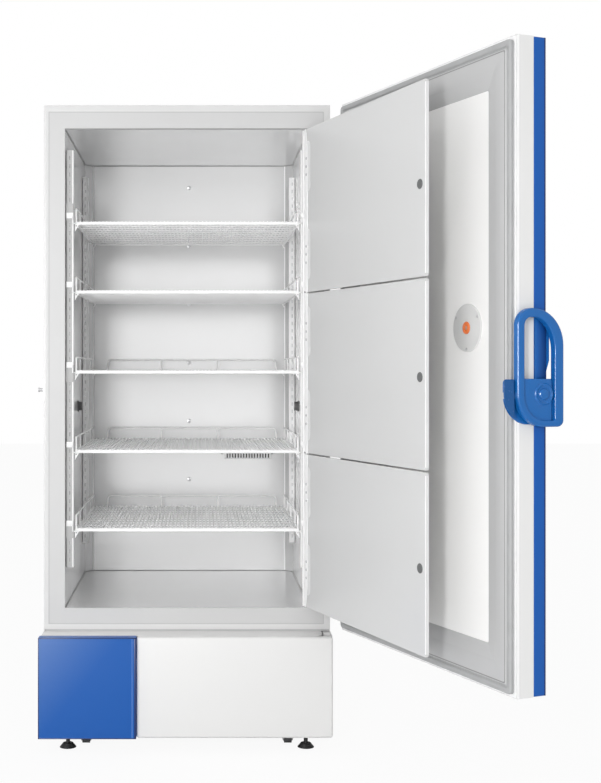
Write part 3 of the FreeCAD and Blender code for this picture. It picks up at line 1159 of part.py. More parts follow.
def machine_room():
    """What cools the chamber: compressor, condenser, fan and controls."""
    floor = "(Dim.base_bottom + Dim.chassis_sheet)"
    at_x, at_y = "-Dim.compressor_left", f"{BACK} - Dim.compressor_back"
    seat = f"{floor} + Dim.mount_tall"
    skirt = "(Dim.compressor_tall * 0.3)"
    can = rod("compressor_can", "z", (at_x, at_y, f"{seat} + 4 + {skirt} * 0.5"),
              "Dim.compressor_radius", f"Dim.compressor_tall - {skirt}")
    bowl = cone("compressor_bowl", "z", (at_x, at_y, f"{seat} + 4"),
                "Dim.compressor_radius * 0.75", "Dim.compressor_radius", f"{skirt} * 0.5")
    crown = cone("compressor_crown", "z",
                 (at_x, at_y, f"{seat} + 4 + Dim.compressor_tall - {skirt} * 0.5"),
                 "Dim.compressor_radius", "Dim.compressor_radius * 0.7", f"{skirt} * 0.5")
    foot = block("compressor_foot",
                 (f"{at_x} - Dim.compressor_radius - 22", f"{at_x} + Dim.compressor_radius + 22"),
                 (f"{at_y} - 62", f"{at_y} + 62"), (seat, f"{seat} + 5"))
    terminal = block("compressor_terminal",
                     (f"{at_x} + Dim.compressor_radius - 8", f"{at_x} + Dim.compressor_radius + 26"),
                     (f"{at_y} - 28", f"{at_y} + 28"), (f"{seat} + 60", f"{seat} + 120"))
    solids = [fuse("compressor_body", [can, bowl, crown, foot, terminal])]
    for n, (dx, dy) in enumerate(((-1, -1), (-1, 1), (1, -1), (1, 1))):
        solids.append(bar(f"compressor_mount_{n}", "z",
                          (f"{at_x} + {dx} * (Dim.compressor_radius + 4)", f"{at_y} + {dy} * 44",
                           floor), "Dim.mount_radius", "Dim.mount_tall", 12))
    part("compressor", group("compressor_set", solids))

    left = "Dim.condenser_right"
    right = f"({left} + Dim.condenser_wide)"
    front = f"({FRONT} - Dim.condenser_back)"
    rear = f"({front} + Dim.condenser_thick)"
    top = f"({floor} + Dim.condenser_tall)"
    body = new_body("condenser_fins")
    fin = loop_sketch(body, "fin_outline", "XZ_Plane", [rectangle(
        left, f"{left} + Dim.fin_thick", floor, top)], f"-{rear}")
    first = pad(body, fin, "fin_pad", "Dim.condenser_thick")
    body.AllowCompound = True
    repeat(body, first, "fin_row", fin, "H_Axis", "Dim.fin_pitch * (Dim.fin_count - 1)",
           "Dim.fin_count")
    pieces = [body]
    length = "Dim.fin_pitch * (Dim.fin_count - 1) + Dim.fin_thick + 8"
    for n in range(4):
        pieces.append(bar(f"condenser_tube_{n}", "x",
                          (f"{left} - 4", f"({front} + {rear}) / 2",
                           f"{floor} + ({n} + 0.5) * Dim.condenser_tall / 4"),
                          "Dim.tube_radius", length))
    part("condenser", fuse("condenser_brazed", pieces))

    axis_x, axis_z = f"(({left} + {right}) / 2)", f"({floor} + Dim.condenser_tall / 2)"
    plate_y = f"({rear} + Dim.shroud_gap)"
    hole_radius = "Dim.fan_radius + Dim.fan_clear"
    plate = block("shroud_plate", (left, right), (plate_y, f"{plate_y} + Dim.shroud_thick"),
                  (floor, top))
    collar = peg("shroud_collar", "y", (axis_x, plate_y, axis_z), f"{hole_radius} + 3",
                 "Dim.fan_deep")
    mouth = peg("shroud_mouth", "y", (axis_x, f"{plate_y} - 1", axis_z), hole_radius,
                "Dim.fan_deep + 2")
    shroud = cut("shroud", fuse("shroud_pressed", [plate, collar]), [mouth])
    motor_y = f"({plate_y} + Dim.fan_deep + 4)"
    motor = peg("motor_can", "y", (axis_x, motor_y, axis_z), "Dim.motor_radius", "Dim.motor_long")
    arms = [
        bar("motor_arm_across", "x", (f"{axis_x} - {hole_radius} - 2", f"{motor_y} + 8", axis_z),
            "Dim.arm_radius", f"2 * ({hole_radius} + 2)"),
        bar("motor_arm_up", "z", (axis_x, f"{motor_y} + 8", f"{axis_z} - {hole_radius} - 2"),
            "Dim.arm_radius", f"2 * ({hole_radius} + 2)"),
    ]
    for n, (dx, dz) in enumerate(((-1, 0), (1, 0), (0, -1), (0, 1))):
        arms.append(bar(
            f"motor_stand_{n}", "y",
            (f"{axis_x} + {dx} * ({hole_radius} + 1.5)", f"{plate_y} + 1",
             f"{axis_z} + {dz} * ({hole_radius} + 1.5)"),
            "Dim.arm_radius", f"{motor_y} - {plate_y} + 10"))
    shaft = peg("motor_shaft", "y", (axis_x, f"{plate_y} + 4", axis_z), "Dim.motor_shaft",
                f"{motor_y} - {plate_y} - 3")
    carrier = fuse("motor_carrier", [shroud, motor, *arms])
    bored = cut("shroud_shaft_way", carrier, [peg(
        "shaft_way", "y", (axis_x, f"{plate_y} - 2", axis_z), "Dim.motor_shaft",
        f"{motor_y} - {plate_y} + 2")])
    part("fan_motor", group("fan_motor_set", [bored, shaft]))
    fan_blades(axis_x, f"{plate_y} + 2", axis_z)

    control = block("control_case", ("Dim.box_right - Dim.box_wide", "Dim.box_right"),
                    (f"{BACK} - Dim.box_back - Dim.box_deep", f"{BACK} - Dim.box_back"),
                    (floor, f"{floor} + Dim.box_tall"))
    control = rounded("control_rounded", control, "Dim.box_corner", upright)
    part("control_box", control)

    across = ("Dim.inlet_across - Dim.inlet_wide / 2", "Dim.inlet_across + Dim.inlet_wide / 2")
    tall = ("Dim.inlet_height - Dim.inlet_tall / 2", "Dim.inlet_height + Dim.inlet_tall / 2")
    case = block("inlet_case", across, (BACK, f"{BACK} + Dim.inlet_deep"), tall)
    case = rounded("inlet_rounded", case, "Dim.inlet_corner", lambda edge: abs(edge.tangentAt(0).y) > 0.99)
    well = block(
        "inlet_well", ("Dim.inlet_across - Dim.inlet_wide * 0.34",
                       "Dim.inlet_across + Dim.inlet_wide * 0.34"),
        (f"{BACK} + 3", f"{BACK} + Dim.inlet_deep + 1"),
        ("Dim.inlet_height - Dim.inlet_tall * 0.32", "Dim.inlet_height + Dim.inlet_tall * 0.32"),
    )
    pins = [block(
        f"inlet_pin_{n}",
        (f"Dim.inlet_across + {n} * 9 - 1.5", f"Dim.inlet_across + {n} * 9 + 1.5"),
        (f"{BACK} + 2", f"{BACK} + Dim.inlet_deep - 2"),
        ("Dim.inlet_height - 3", "Dim.inlet_height + 3"),
    ) for n in (-1, 0, 1)]
    part("power_inlet", fuse("inlet", [cut("inlet_open", case, [well]), *pins]))


def crescent(radius, chord, tilt, thick, camber):
    """The closed section of a fan blade at one radius: two arcs that meet at sharp edges."""
    def point(along_chord, off):
        turn = math.radians(tilt)
        x = along_chord * math.cos(turn) - off * math.sin(turn)
        y = along_chord * math.sin(turn) + off * math.cos(turn)
        return FreeCAD.Vector(x, y, radius)
    start, end = point(-chord / 2, 0), point(chord / 2, 0)
    over = Part.Arc(start, point(0, camber + thick / 2), end).toShape()
    under = Part.Arc(end, point(0, camber - thick / 2), start).toShape()
    return Part.Wire([over, under])


def fan_blades(axis_x, near, axis_z):
    """A pressed fan: a hub bored for the shaft and twisted, cambered blades around it."""
    hub_radius, tip_radius = size("Dim.fan_hub"), size("Dim.fan_radius")
    deep, tilt = size("Dim.fan_deep - 6"), size("Dim.blade_angle")
    thick, count = size("Dim.blade_thick"), int(size("Dim.blade_count"))
    root = hub_radius * 0.7
    chord_root = 0.9 * deep / math.sin(math.radians(tilt + 14))
    chord_tip = 0.94 * deep / math.sin(math.radians(tilt))
    sections = [crescent(root, chord_root, tilt + 14, thick, 3),
                crescent((root + tip_radius) / 2, (chord_root + chord_tip) / 2, tilt + 6, thick, 4),
                crescent(tip_radius - 4, chord_tip, tilt, thick, 4)]
    blade = Part.makeLoft(sections, True)
    middle = deep / 2
    hub = Part.makeCylinder(hub_radius, deep, FreeCAD.Vector(0, -middle, 0),
                            FreeCAD.Vector(0, 1, 0))
    shape = hub
    for n in range(count):
        turned = blade.copy()
        turned.rotate(FreeCAD.Vector(), FreeCAD.Vector(0, 1, 0), 360 / count * n)
        shape = shape.fuse(turned)
    bore = Part.makeCylinder(size("Dim.motor_shaft + 0.3"), deep + 2,
                             FreeCAD.Vector(0, -middle - 1, 0), FreeCAD.Vector(0, 1, 0))
    item = doc.addObject("Part::Feature", "fan_turned")
    item.Shape = shape.cut(bore)
    part("fan_blades", item, {
        "Placement.Base.x": axis_x, "Placement.Base.y": f"{near} + (Dim.fan_deep - 6) / 2",
        "Placement.Base.z": axis_z,
    })


def caster(position, centre_x, swivel_y, trail, lift, steers):
    """A twin-cheek fork with its axle, and a wheel that runs on the axle."""
    top = "Dim.base_bottom" if not steers else "(Dim.base_bottom - 0.3)"
    axle_y = f"{swivel_y} + {trail}"
    axle_z = f"({lift} + Dim.wheel_radius)"
    half = "(Dim.wheel_wide / 2 + Dim.fork_clear)"
    wide = f"({half} + Dim.fork_wall)"
    plate = block(f"{position}_plate", (f"{centre_x} - {wide} - 2", f"{centre_x} + {wide} + 2"),
                  (f"{swivel_y} - 16", f"{axle_y} + 10"), (f"{top} - Dim.fork_plate", top))
    pieces = [plate]
    for side, start in (("left", f"{centre_x} - {wide}"), ("right", f"{centre_x} + {half}")):
        cheek = block(f"{position}_cheek_{side}", (start, f"{start} + Dim.fork_wall"),
                      (f"{axle_y} - 9", f"{axle_y} + 9"),
                      (f"{axle_z} - 9", f"{top} - Dim.fork_plate"))
        cheek = rounded(f"{position}_cheek_round_{side}", cheek, "Dim.cheek_bevel", lambda edge: (
            abs(edge.tangentAt(0).x) > 0.99 and edge.CenterOfMass.z < size(axle_z)), "Chamfer")
        pieces.append(cheek)
    if steers:
        pieces.append(peg(f"{position}_stem", "z", (centre_x, swivel_y, top),
                          "Dim.swivel_radius", "Dim.chassis_sheet + 1.2"))
        pieces.append(bar(f"{position}_cap", "z",
                          (centre_x, swivel_y, f"{top} + Dim.chassis_sheet + 0.8"),
                          "Dim.swivel_radius + 3", "2.5", 8))
    bore = peg(f"{position}_axle_way", "x", (f"{centre_x} - {wide} - 1", axle_y, axle_z),
               "Dim.axle_radius", f"2 * {wide} + 2")
    axle = peg(f"{position}_axle", "x", (f"{centre_x} - {wide} - 2", axle_y, axle_z),
               "Dim.axle_radius", f"2 * {wide} + 4")
    fork = cut(f"{position}_fork_bored", fuse(f"{position}_fork_welded", pieces), [bore])
    tyre = rod(f"{position}_tyre", "x", (f"{centre_x} - Dim.wheel_wide / 2", axle_y, axle_z),
               "Dim.wheel_radius", "Dim.wheel_wide")
    hub = rod(f"{position}_hub_bore", "x", (f"{centre_x} - Dim.wheel_wide", axle_y, axle_z),
              "Dim.wheel_bore", "2 * Dim.wheel_wide")
    return [fork, axle], cut(f"{position}_wheel", tyre, [hub])


def feet_and_casters():
    rear_forks, wheels = [], []
    for side, sign in (("left", "-1"), ("right", "1")):
        at_x, at_y = f"{sign} * Dim.foot_across", behind("-Dim.foot_ahead")
        sole = cone(f"foot_pad_{side}", "z", (at_x, at_y, "0"), "Dim.foot_radius",
                    "Dim.foot_radius * 0.6", "Dim.foot_thick")
        stem = bar(f"foot_stem_{side}", "z", (at_x, at_y, "Dim.foot_thick - 1"), "Dim.foot_stem",
                   "Dim.base_bottom - Dim.foot_thick + 22", 12)
        nut = bar(f"foot_nut_{side}", "z",
                  (at_x, at_y, "Dim.base_bottom - 0.3 - Dim.foot_nut_tall"), "Dim.foot_nut",
                  "Dim.foot_nut_tall")
        part(f"foot_{side}", fuse(f"foot_fused_{side}", [sole, stem, nut]))

        fork, wheel = caster(f"front_{side}", f"{sign} * Dim.caster_across",
                             behind("Dim.caster_front"), "-Dim.caster_trail", "Dim.caster_lift",
                             True)
        part(f"caster_fork_front_{side}", group(f"fork_front_{side}", fork))
        wheels.append((f"caster_wheel_front_{side}", wheel))
        fork, wheel = caster(f"rear_{side}", f"{sign} * Dim.caster_across",
                             f"{BACK} - Dim.caster_rear", "0", "0", False)
        rear_forks += fork
        wheels.append((f"caster_wheel_rear_{side}", wheel))
    part("caster_forks_rear", group("rear_fork_pair", rear_forks))
    for name, wheel in wheels:
        part(name, wheel)


def check(items):
    """Stops if any step of the model failed, before anything is written."""
    for item in items:
        if {"Invalid", "Error"} & set(item.State):
            raise RuntimeError(f"{item.Label}: {item.State}")
    for item in parts:
        if item.Shape.isNull() or not item.Shape.isValid() or not item.Shape.Solids:
            raise RuntimeError(f"{item.Label} has no sound solid")


cabinet_shell()
chamber_lining()
chamber_uprights()
for shelf_number, shelf_top in enumerate(SHELF_TOPS, 1):
    wire_shelf(shelf_number, shelf_top)
shelf_supports()
chamber_fittings()
for door_position in INNER_SPANS:
    inner_door(door_position)
inner_door_frame()
outer_door()
door_hinges()
latch()
base()
machine_room()
feet_and_casters()

doc.recompute()
check(doc.Objects)
os.makedirs("parts", exist_ok=True)
for item in parts:
    item.Shape.exportStep(os.path.join("parts", item.Label + ".step"))
print(len(parts), "sub-parts written")
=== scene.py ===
import bpy
import bmesh
import json
import math
from functools import partialmethod
from mathutils import Matrix, Vector


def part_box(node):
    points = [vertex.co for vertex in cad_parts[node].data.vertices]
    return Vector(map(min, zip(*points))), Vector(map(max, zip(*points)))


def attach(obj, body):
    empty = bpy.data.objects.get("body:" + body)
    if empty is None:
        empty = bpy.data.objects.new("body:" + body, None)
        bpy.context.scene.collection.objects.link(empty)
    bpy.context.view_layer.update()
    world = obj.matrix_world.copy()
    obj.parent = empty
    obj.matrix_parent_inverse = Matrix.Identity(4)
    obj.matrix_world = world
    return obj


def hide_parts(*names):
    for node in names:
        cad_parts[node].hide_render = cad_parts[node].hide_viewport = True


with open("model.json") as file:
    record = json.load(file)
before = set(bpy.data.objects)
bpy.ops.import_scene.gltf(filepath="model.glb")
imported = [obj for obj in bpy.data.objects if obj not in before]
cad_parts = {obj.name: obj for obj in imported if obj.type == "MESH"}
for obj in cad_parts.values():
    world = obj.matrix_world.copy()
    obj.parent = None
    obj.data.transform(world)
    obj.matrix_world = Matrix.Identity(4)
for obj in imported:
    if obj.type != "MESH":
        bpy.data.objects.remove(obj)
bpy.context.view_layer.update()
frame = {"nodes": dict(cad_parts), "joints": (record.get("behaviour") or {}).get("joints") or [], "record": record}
nodes = frame["nodes"]
print("frame loaded:", len(nodes), "nodes")

def joint(name):
    return next(item for item in frame["joints"] if item["name"] == name)


# pieces are drawn in millimetres with the doors closed, and a frame carries each to its place
millimetres = Matrix.Scale(0.001, 4)
handleAxis = joint("handle_pivot")["axis"]
doorAngle = math.atan2(handleAxis[1], handleAxis[0])
innerRatio = next(c["ratio"] for c in frame["record"]["behaviour"]["couplings"])


def hinged(jointName, angle):
    x, y = joint(jointName)["pos_m"][:2]
    return Matrix.Translation((x, y, 0)) @ Matrix.Rotation(angle, 4, "Z") @ millimetres


doorFrame = hinged("outer_door_hinge", doorAngle)
innerFrame = hinged("inner_door_top_hinge", doorAngle * innerRatio)


# everything around the part is set out from the middle of the cabinet's front, on the floor
wrapperLow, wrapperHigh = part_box("cabinet_wrapper")
frontMiddle = Vector(((wrapperLow.x + wrapperHigh.x) / 2, wrapperLow.y, 0))


# camera, with the photograph's pixels as its units
view = {
    "wide": 601, "high": 783, "focal": 1250, "principalX": 200, "principalY": 369,
    "x": 0.0386, "distance": 3.714, "z": 1.115, "farthest": 60,
}


def makeCamera():
    data = bpy.data.cameras.new("camera")
    longSide = max(view["wide"], view["high"])
    data.lens = view["focal"] / longSide * data.sensor_width
    data.shift_x = (view["wide"] / 2 - view["principalX"]) / longSide
    data.shift_y = (view["principalY"] - view["high"] / 2) / longSide
    data.clip_end = view["farthest"]
    camera = bpy.data.objects.new("camera", data)
    camera.location = frontMiddle + Vector((view["x"], -view["distance"], view["z"]))
    camera.rotation_euler = (math.pi / 2, 0, 0)
    bpy.context.scene.collection.objects.link(camera)
    bpy.context.scene.camera = camera


makeCamera()
print("camera placed")


# shader maths
class Signal:
    def __init__(self, tree, socket):
        self.tree = tree
        self.socket = socket

    def maths(self, operation, other, swapped=False):
        node = self.tree.nodes.new("ShaderNodeMath")
        node.operation = operation
        values = (other, self) if swapped else (self, other)
        for slot, value in zip(node.inputs, values):
            feed(self.tree, slot, value)
        return Signal(self.tree, node.outputs[0])

    __add__ = partialmethod(maths, "ADD")
    __radd__ = partialmethod(maths, "ADD", swapped=True)
    __sub__ = partialmethod(maths, "SUBTRACT")
    __rsub__ = partialmethod(maths, "SUBTRACT", swapped=True)
    __mul__ = partialmethod(maths, "MULTIPLY")
    __rmul__ = partialmethod(maths, "MULTIPLY", swapped=True)


def feed(tree, slot, value):
    if isinstance(value, Signal):
        tree.links.new(value.socket, slot)
    else:
        slot.default_value = value


class Finish:
    def __init__(self, name, colour, roughness, **fixed):
        self.material = bpy.data.materials.new(name)
        self.material.use_nodes = True
        self.tree = self.material.node_tree
        self.tree.nodes.clear()
        self.output = self.tree.nodes.new("ShaderNodeOutputMaterial")
        self.surface = self.tree.nodes.new("ShaderNodeBsdfPrincipled")
        self.tree.links.new(self.surface.outputs[0], self.output.inputs[0])
        self.set("Base Color", (*colour, 1))
        self.set("Roughness", roughness)
        for word, value in fixed.items():
            self.set(word, value)

    def set(self, socket, value):
        feed(self.tree, self.surface.inputs[socket], value)

    def node(self, kind, settings, sockets, output=0):
        made = self.tree.nodes.new(kind)
        for word, value in settings.items():
            setattr(made, word, value)
        for word, value in sockets.items():
            feed(self.tree, made.inputs[word], value)
        return Signal(self.tree, made.outputs[output])

    def place(self, scale=(1, 1, 1)):
        spot = self.node("ShaderNodeTexCoord", {}, {}, "Object")
        return self.node("ShaderNodeMapping", {}, {"Vector": spot, "Scale": scale})

    def noise(self, scale, detail=2.0, stretch=(1, 1, 1)):
        return self.node("ShaderNodeTexNoise", {}, {
            "Vector": self.place(stretch), "Scale": scale, "Detail": detail})

    def blend(self, amount, first, second):
        return self.node("ShaderNodeMix", {"data_type": "RGBA"}, {
            0: amount, 6: (*first, 1), 7: (*second, 1)}, 2)

    def tint(self, pattern, colour, dark, light):
        self.set("Base Color", self.blend(pattern, shaded(colour, dark), shaded(colour, light)))

    def vary(self, pattern, roughness, swing):
        self.set("Roughness", roughness + pattern * swing)

    def bump(self, height, strength, distance):
        self.set("Normal", self.node("ShaderNodeBump", {}, {
            "Height": height, "Strength": strength, "Distance": distance}))


def shaded(colour, amount):
    return tuple(max(0, min(1, channel * amount)) for channel in colour)


def powderCoat(name, colour, roughness, grain=420, depth=0.00006, variation=0.03, **fixed):
    finish = Finish(name, colour, roughness, **fixed)
    finish.tint(finish.noise(2.4, 3), colour, 1 - variation, 1 + variation * 0.4)
    finish.vary(finish.noise(60, 2), roughness - 0.01, 0.02)
    finish.bump(finish.noise(grain, 1), 0.08, depth)
    return finish.material


def mouldedPlastic(name, colour, roughness, grain=900, depth=0.00004, specular=0.5):
    finish = Finish(name, colour, roughness, **{"Specular IOR Level": specular})
    finish.tint(finish.noise(5, 2), colour, 0.97, 1.03)
    finish.vary(finish.noise(90, 2), roughness - 0.03, 0.07)
    finish.bump(finish.noise(grain, 2), 0.2, depth)
    return finish.material


def brushedMetal(name, colour, roughness, metallic, scale, stretch=(1, 1, 0.05)):
    finish = Finish(name, colour, roughness, Metallic=metallic)
    lines = finish.noise(scale, 2, stretch)
    finish.tint(lines, colour, 0.95, 1.04)
    finish.vary(lines, roughness - 0.05, 0.1)
    finish.bump(lines, 0.15, 0.00003)
    return finish.material


def polishedSheet(name, colour, roughness, metallic):
    finish = Finish(name, colour, roughness, Metallic=metallic)
    finish.tint(finish.noise(1.6, 2), colour, 0.97, 1.02)
    finish.vary(finish.noise(7, 2), roughness - 0.02, 0.04)
    return finish.material


# a panel with a painted reflection: its colour is lighter towards its upper left corner, given as (x, z) in metres
def paintedReflectionPanel(name, colour, lighter, corner, reach, roughness):
    finish = Finish(name, colour, roughness, **{"Specular IOR Level": 0.25})
    across = finish.node("ShaderNodeSeparateXYZ", {}, {"Vector": finish.place()}, "X")
    up = Signal(finish.tree, across.socket.node.outputs["Z"])
    fade = (up - corner[1]) * reach[1] - (across - corner[0]) * reach[0] + 1
    share = finish.node("ShaderNodeClamp", {}, {"Value": fade})
    finish.set("Base Color", finish.blend(share, colour, lighter))
    finish.vary(finish.noise(90, 2), roughness - 0.03, 0.06)
    return finish.material


def rubber(name, colour, roughness):
    finish = Finish(name, colour, roughness)
    finish.tint(finish.noise(30, 3), colour, 0.9, 1.06)
    finish.vary(finish.noise(200, 2), roughness - 0.05, 0.1)
    finish.bump(finish.noise(1400, 2), 0.3, 0.00005)
    return finish.material


def galvanisedSheet(name, colour):
    finish = Finish(name, colour, 0.4, Metallic=0.85)
    spangle = finish.node("ShaderNodeTexVoronoi", {}, {"Vector": finish.place(), "Scale": 60},
                          "Color")
    grey = finish.node("ShaderNodeSeparateColor", {}, {"Color": spangle}, 0)
    finish.tint(grey, colour, 0.86, 1.1)
    finish.vary(grey, 0.34, 0.16)
    return finish.material


def pouredFoam(name, colour):
    finish = Finish(name, colour, 0.9)
    cells = finish.node("ShaderNodeTexVoronoi", {}, {"Vector": finish.place(), "Scale": 500}, 0)
    finish.tint(cells, colour, 0.85, 1)
    finish.bump(cells, 0.5, 0.0006)
    return finish.material


finishes = {
    "casing": powderCoat("casingWhite", (0.70, 0.70, 0.698), 0.34),
    # painted light: a lighter copy of the casing white for the base panel, which gets less light than the cabinet
    # above
    "baseWhite": powderCoat("basePanelWhite", (0.82, 0.818, 0.81), 0.34),
    "doorEdge": powderCoat("doorEdgeWhite", (0.83, 0.83, 0.825), 0.36),
    "liner": polishedSheet("linerCoat", (0.855, 0.856, 0.858), 0.17, 0.38),
    "breaker": mouldedPlastic("breakerGrey", (0.60, 0.60, 0.60), 0.42),
    "ledge": mouldedPlastic("ledgeGrey", (0.84, 0.835, 0.83), 0.42),
    "seam": mouldedPlastic("seamGrey", (0.30, 0.30, 0.30), 0.5),
    # painted shade: grey for the gaps round the chamber's frame and under the cabinet
    "gapShadeGrey": mouldedPlastic("gapShadeGrey", (0.52, 0.52, 0.52), 0.5),
    "strikeGrey": mouldedPlastic("strikeGrey", (0.14, 0.145, 0.145), 0.4),
    "post": powderCoat("postShade", (0.46, 0.46, 0.46), 0.36),
    # painted shade: dark blue for the edges of blue panels, where the rounded edges turn away from the light
    "edgeShadeBlue": mouldedPlastic("paintedEdgeShade", (0.002, 0.022, 0.125), 0.35),
    # painted highlight: a lighter blue for the crease ridge on the blue base panel
    "creaseHighlight": mouldedPlastic("creaseHighlightBlue", (0.10, 0.24, 0.62), 0.3),
    # painted reflection: the blue base panel's colour is lighter towards its upper left
    "baseBlue": paintedReflectionPanel("baseBlue", (0.014, 0.108, 0.42), (0.075, 0.175, 0.46),
                         (-0.078, 0.336), (4.2, 3.4), 0.34),
    "wire": mouldedPlastic("wireCoat", (0.97, 0.97, 0.97), 0.34, 500),
    "bracket": powderCoat("bracketWhite", (0.93, 0.93, 0.93), 0.38),
    "innerDoor": powderCoat("innerDoorSheet", (0.74, 0.743, 0.743), 0.26, 300, 0.00004, 0.02,
                            Alpha=0.92),
    "leaf": powderCoat("hingeLeafGrey", (0.76, 0.762, 0.762), 0.36),
    "housing": mouldedPlastic("housingBlue", (0.008, 0.090, 0.290), 0.26, 500, 0.00003, 0.4),
    "stopper": mouldedPlastic("portStopperGrey", (0.11, 0.11, 0.11), 0.5),
    # white of the hinge strips and the jamb; also painted highlight on the channels' lips, the chamber's rear
    # corners, the inner doors' free edges and the outer door's rim
    "strip": mouldedPlastic("stripWhiteAndHighlights", (0.96, 0.96, 0.96), 0.36),
    "doorRing": mouldedPlastic("doorRingGrey", (0.55, 0.552, 0.555), 0.34),
    "recess": polishedSheet("recessSheet", (0.95, 0.945, 0.935), 0.34, 0.1),
    "gasket": rubber("gasketGrey", (0.44, 0.445, 0.45), 0.6),
    "blue": mouldedPlastic("panelBlue", (0.010, 0.104, 0.425), 0.34, 500, 0.00003, 0.25),
    "handle": mouldedPlastic("handleBlue", (0.006, 0.130, 0.430), 0.20, 700, 0.00002, 0.55),
    "steel": brushedMetal("fittingSteel", (0.62, 0.62, 0.63), 0.30, 0.9, 500),
    "darkRubber": rubber("footRubber", (0.012, 0.012, 0.012), 0.55),
    "wheel": rubber("wheelGrey", (0.09, 0.09, 0.095), 0.5),
    "orange": mouldedPlastic("plugOrange", (0.80, 0.19, 0.045), 0.42),
    "portWhite": mouldedPlastic("portPlateGrey", (0.68, 0.68, 0.675), 0.36),
    "black": mouldedPlastic("glassBlack", (0.010, 0.010, 0.012), 0.12),
    "galvanised": galvanisedSheet("galvanisedSheet", (0.55, 0.56, 0.57)),
    "enamel": powderCoat("compressorEnamel", (0.012, 0.012, 0.014), 0.28),
    "fins": brushedMetal("finAluminium", (0.70, 0.71, 0.72), 0.35, 0.9, 400),
    "foam": pouredFoam("pouredFoam", (0.70, 0.60, 0.36)),
}
print("finishes made:", len(finishes))


def pick(values, words):
    return [values[word] for word in words.split()]


# mesh helpers
def roundedPath(points, radius, steps=5):
    path = [points[0]]
    for before, corner, after in zip(points, points[1:], points[2:]):
        into, out = (before - corner), (after - corner)
        reach = min(radius, into.length * 0.49, out.length * 0.49)
        start, end = corner + into.normalized() * reach, corner + out.normalized() * reach
        for n in range(steps + 1):
            t = n / steps
            path.append(start * (1 - t) ** 2 + corner * 2 * t * (1 - t) + end * t ** 2)
    path.append(points[-1])
    return path


def addTube(bm, points, radius, sides=10):
    rings = []
    side = None
    for n, point in enumerate(points):
        ahead = (points[min(n + 1, len(points) - 1)] - points[max(n - 1, 0)]).normalized()
        if side is None:
            side = ahead.orthogonal().normalized()
        side = (side - ahead * side.dot(ahead)).normalized()
        other = ahead.cross(side)
        turns = [2 * math.pi * k / sides for k in range(sides)]
        rings.append([point + radius * (math.cos(turn) * side + math.sin(turn) * other)
                      for turn in turns])
    addRings(bm, rings)


def addRod(bm, start, end, radius, sides=12):
    addTube(bm, [Vector(start), Vector(end)], radius, sides)


def addBox(bm, low, high, edge=0.0, segments=2):
    made = bmesh.ops.create_cube(bm, size=1)["verts"]
    low, high = Vector(low), Vector(high)
    for vert in made:
        vert.co = Vector((a + (b - a) * (c + 0.5) for a, b, c in zip(low, high, vert.co)))
    if edge:
        edges = list({e for vert in made for e in vert.link_edges})
        bmesh.ops.bevel(bm, geom=edges, offset=edge, segments=segments, profile=0.5,
                        affect="EDGES", clamp_overlap=True)


def addLathe(bm, profile, matrix, steps=40):
    turns = [2 * math.pi * k / steps for k in range(steps)]
    rings = []
    for radius, height in profile:
        spots = [(radius * math.cos(turn), radius * math.sin(turn), height)
                 for turn in (turns if radius else turns[:1])]
        rings.append([bm.verts.new(matrix @ Vector(spot)) for spot in spots])
    for first, second in zip(rings, rings[1:]):
        for k in range(steps):
            after = (k + 1) % steps
            corners = [first[k % len(first)], first[after % len(first)],
                       second[after % len(second)], second[k % len(second)]]
            corners = list(dict.fromkeys(corners))
            if len(corners) > 2:
                bm.faces.new(corners)


def facing(direction, place):
    return Matrix.Translation(place) @ Vector(direction).to_track_quat("Z", "Y").to_matrix().to_4x4()


def roundedRectangle(low, high, radius, steps=6):
    (left, bottom), (right, top) = low, high
    corners = ((right - radius, top - radius, 0), (left + radius, top - radius, 90),
               (left + radius, bottom + radius, 180), (right - radius, bottom + radius, 270))
    points = []
    for x, y, start in corners:
        for n in range(steps + 1):
            turn = math.radians(start + 90 * n / steps)
            points.append((x + radius * math.cos(turn), y + radius * math.sin(turn)))
    return points


def insetLoop(low, high, amount, level, radius, steps):
    return [Vector((x, level, z)) for x, z in roundedRectangle(
        (low.x + amount, low.z + amount), (high.x - amount, high.z - amount), radius, steps)]


def addRings(bm, rings, capFirst=True, capLast=True):
    loops = [[bm.verts.new(point) for point in ring] for ring in rings]
    count = len(loops[0])
    for first, second in zip(loops, loops[1:]):
        for k in range(count):
            after = (k + 1) % count
            bm.faces.new((first[k], first[after], second[after], second[k]))
    if capFirst:
        bm.faces.new(reversed(loops[0]))
    if capLast:
        bm.faces.new(loops[-1])


def roundedSlab(bm, outline, low, high, edge, steps=4):
    centre = Vector((sum(x for x, z in outline), 0, sum(z for x, z in outline))) / len(outline)
    rings = []
    for side, level in ((1, low), (-1, high)):
        arc = []
        for n in range(steps + 1):
            turn = math.pi / 2 * n / steps
            inward, depth = edge * (1 - math.sin(turn)), edge * (1 - math.cos(turn))
            arc.append([Vector((x - inward * math.copysign(1, x - centre.x),
                                level + side * depth,
                                z - inward * math.copysign(1, z - centre.z)))
                        for x, z in outline])
        rings += arc if side == 1 else arc[::-1]
    addRings(bm, rings)


def addMeshes(bm, *meshes):
    for mesh in meshes:
        bm.from_mesh(mesh)
        bpy.data.meshes.remove(mesh)


def piece(name, bm, finish, body, slotName, matrix=millimetres, replaced=(), sharp=35):
    bmesh.ops.recalc_face_normals(bm, faces=bm.faces)
    bmesh.ops.transform(bm, matrix=matrix, verts=bm.verts)
    mesh = bpy.data.meshes.new(name)
    bm.to_mesh(mesh)
    bm.free()
    mesh.materials.append(finishes[finish])
    mesh.shade_smooth()
    mesh.set_sharp_from_angle(angle=math.radians(sharp))
    made = bpy.data.objects.new(name, mesh)
    bpy.context.scene.collection.objects.link(made)
    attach(made, body)
    if replaced:
        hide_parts(*replaced)


def boxPiece(name, low, high, edge, segments, finish, body, slotName, matrix=millimetres,
             replaced=()):
    bm = bmesh.new()
    addBox(bm, low, high, edge, segments)
    piece(name, bm, finish, body, slotName, matrix, replaced)


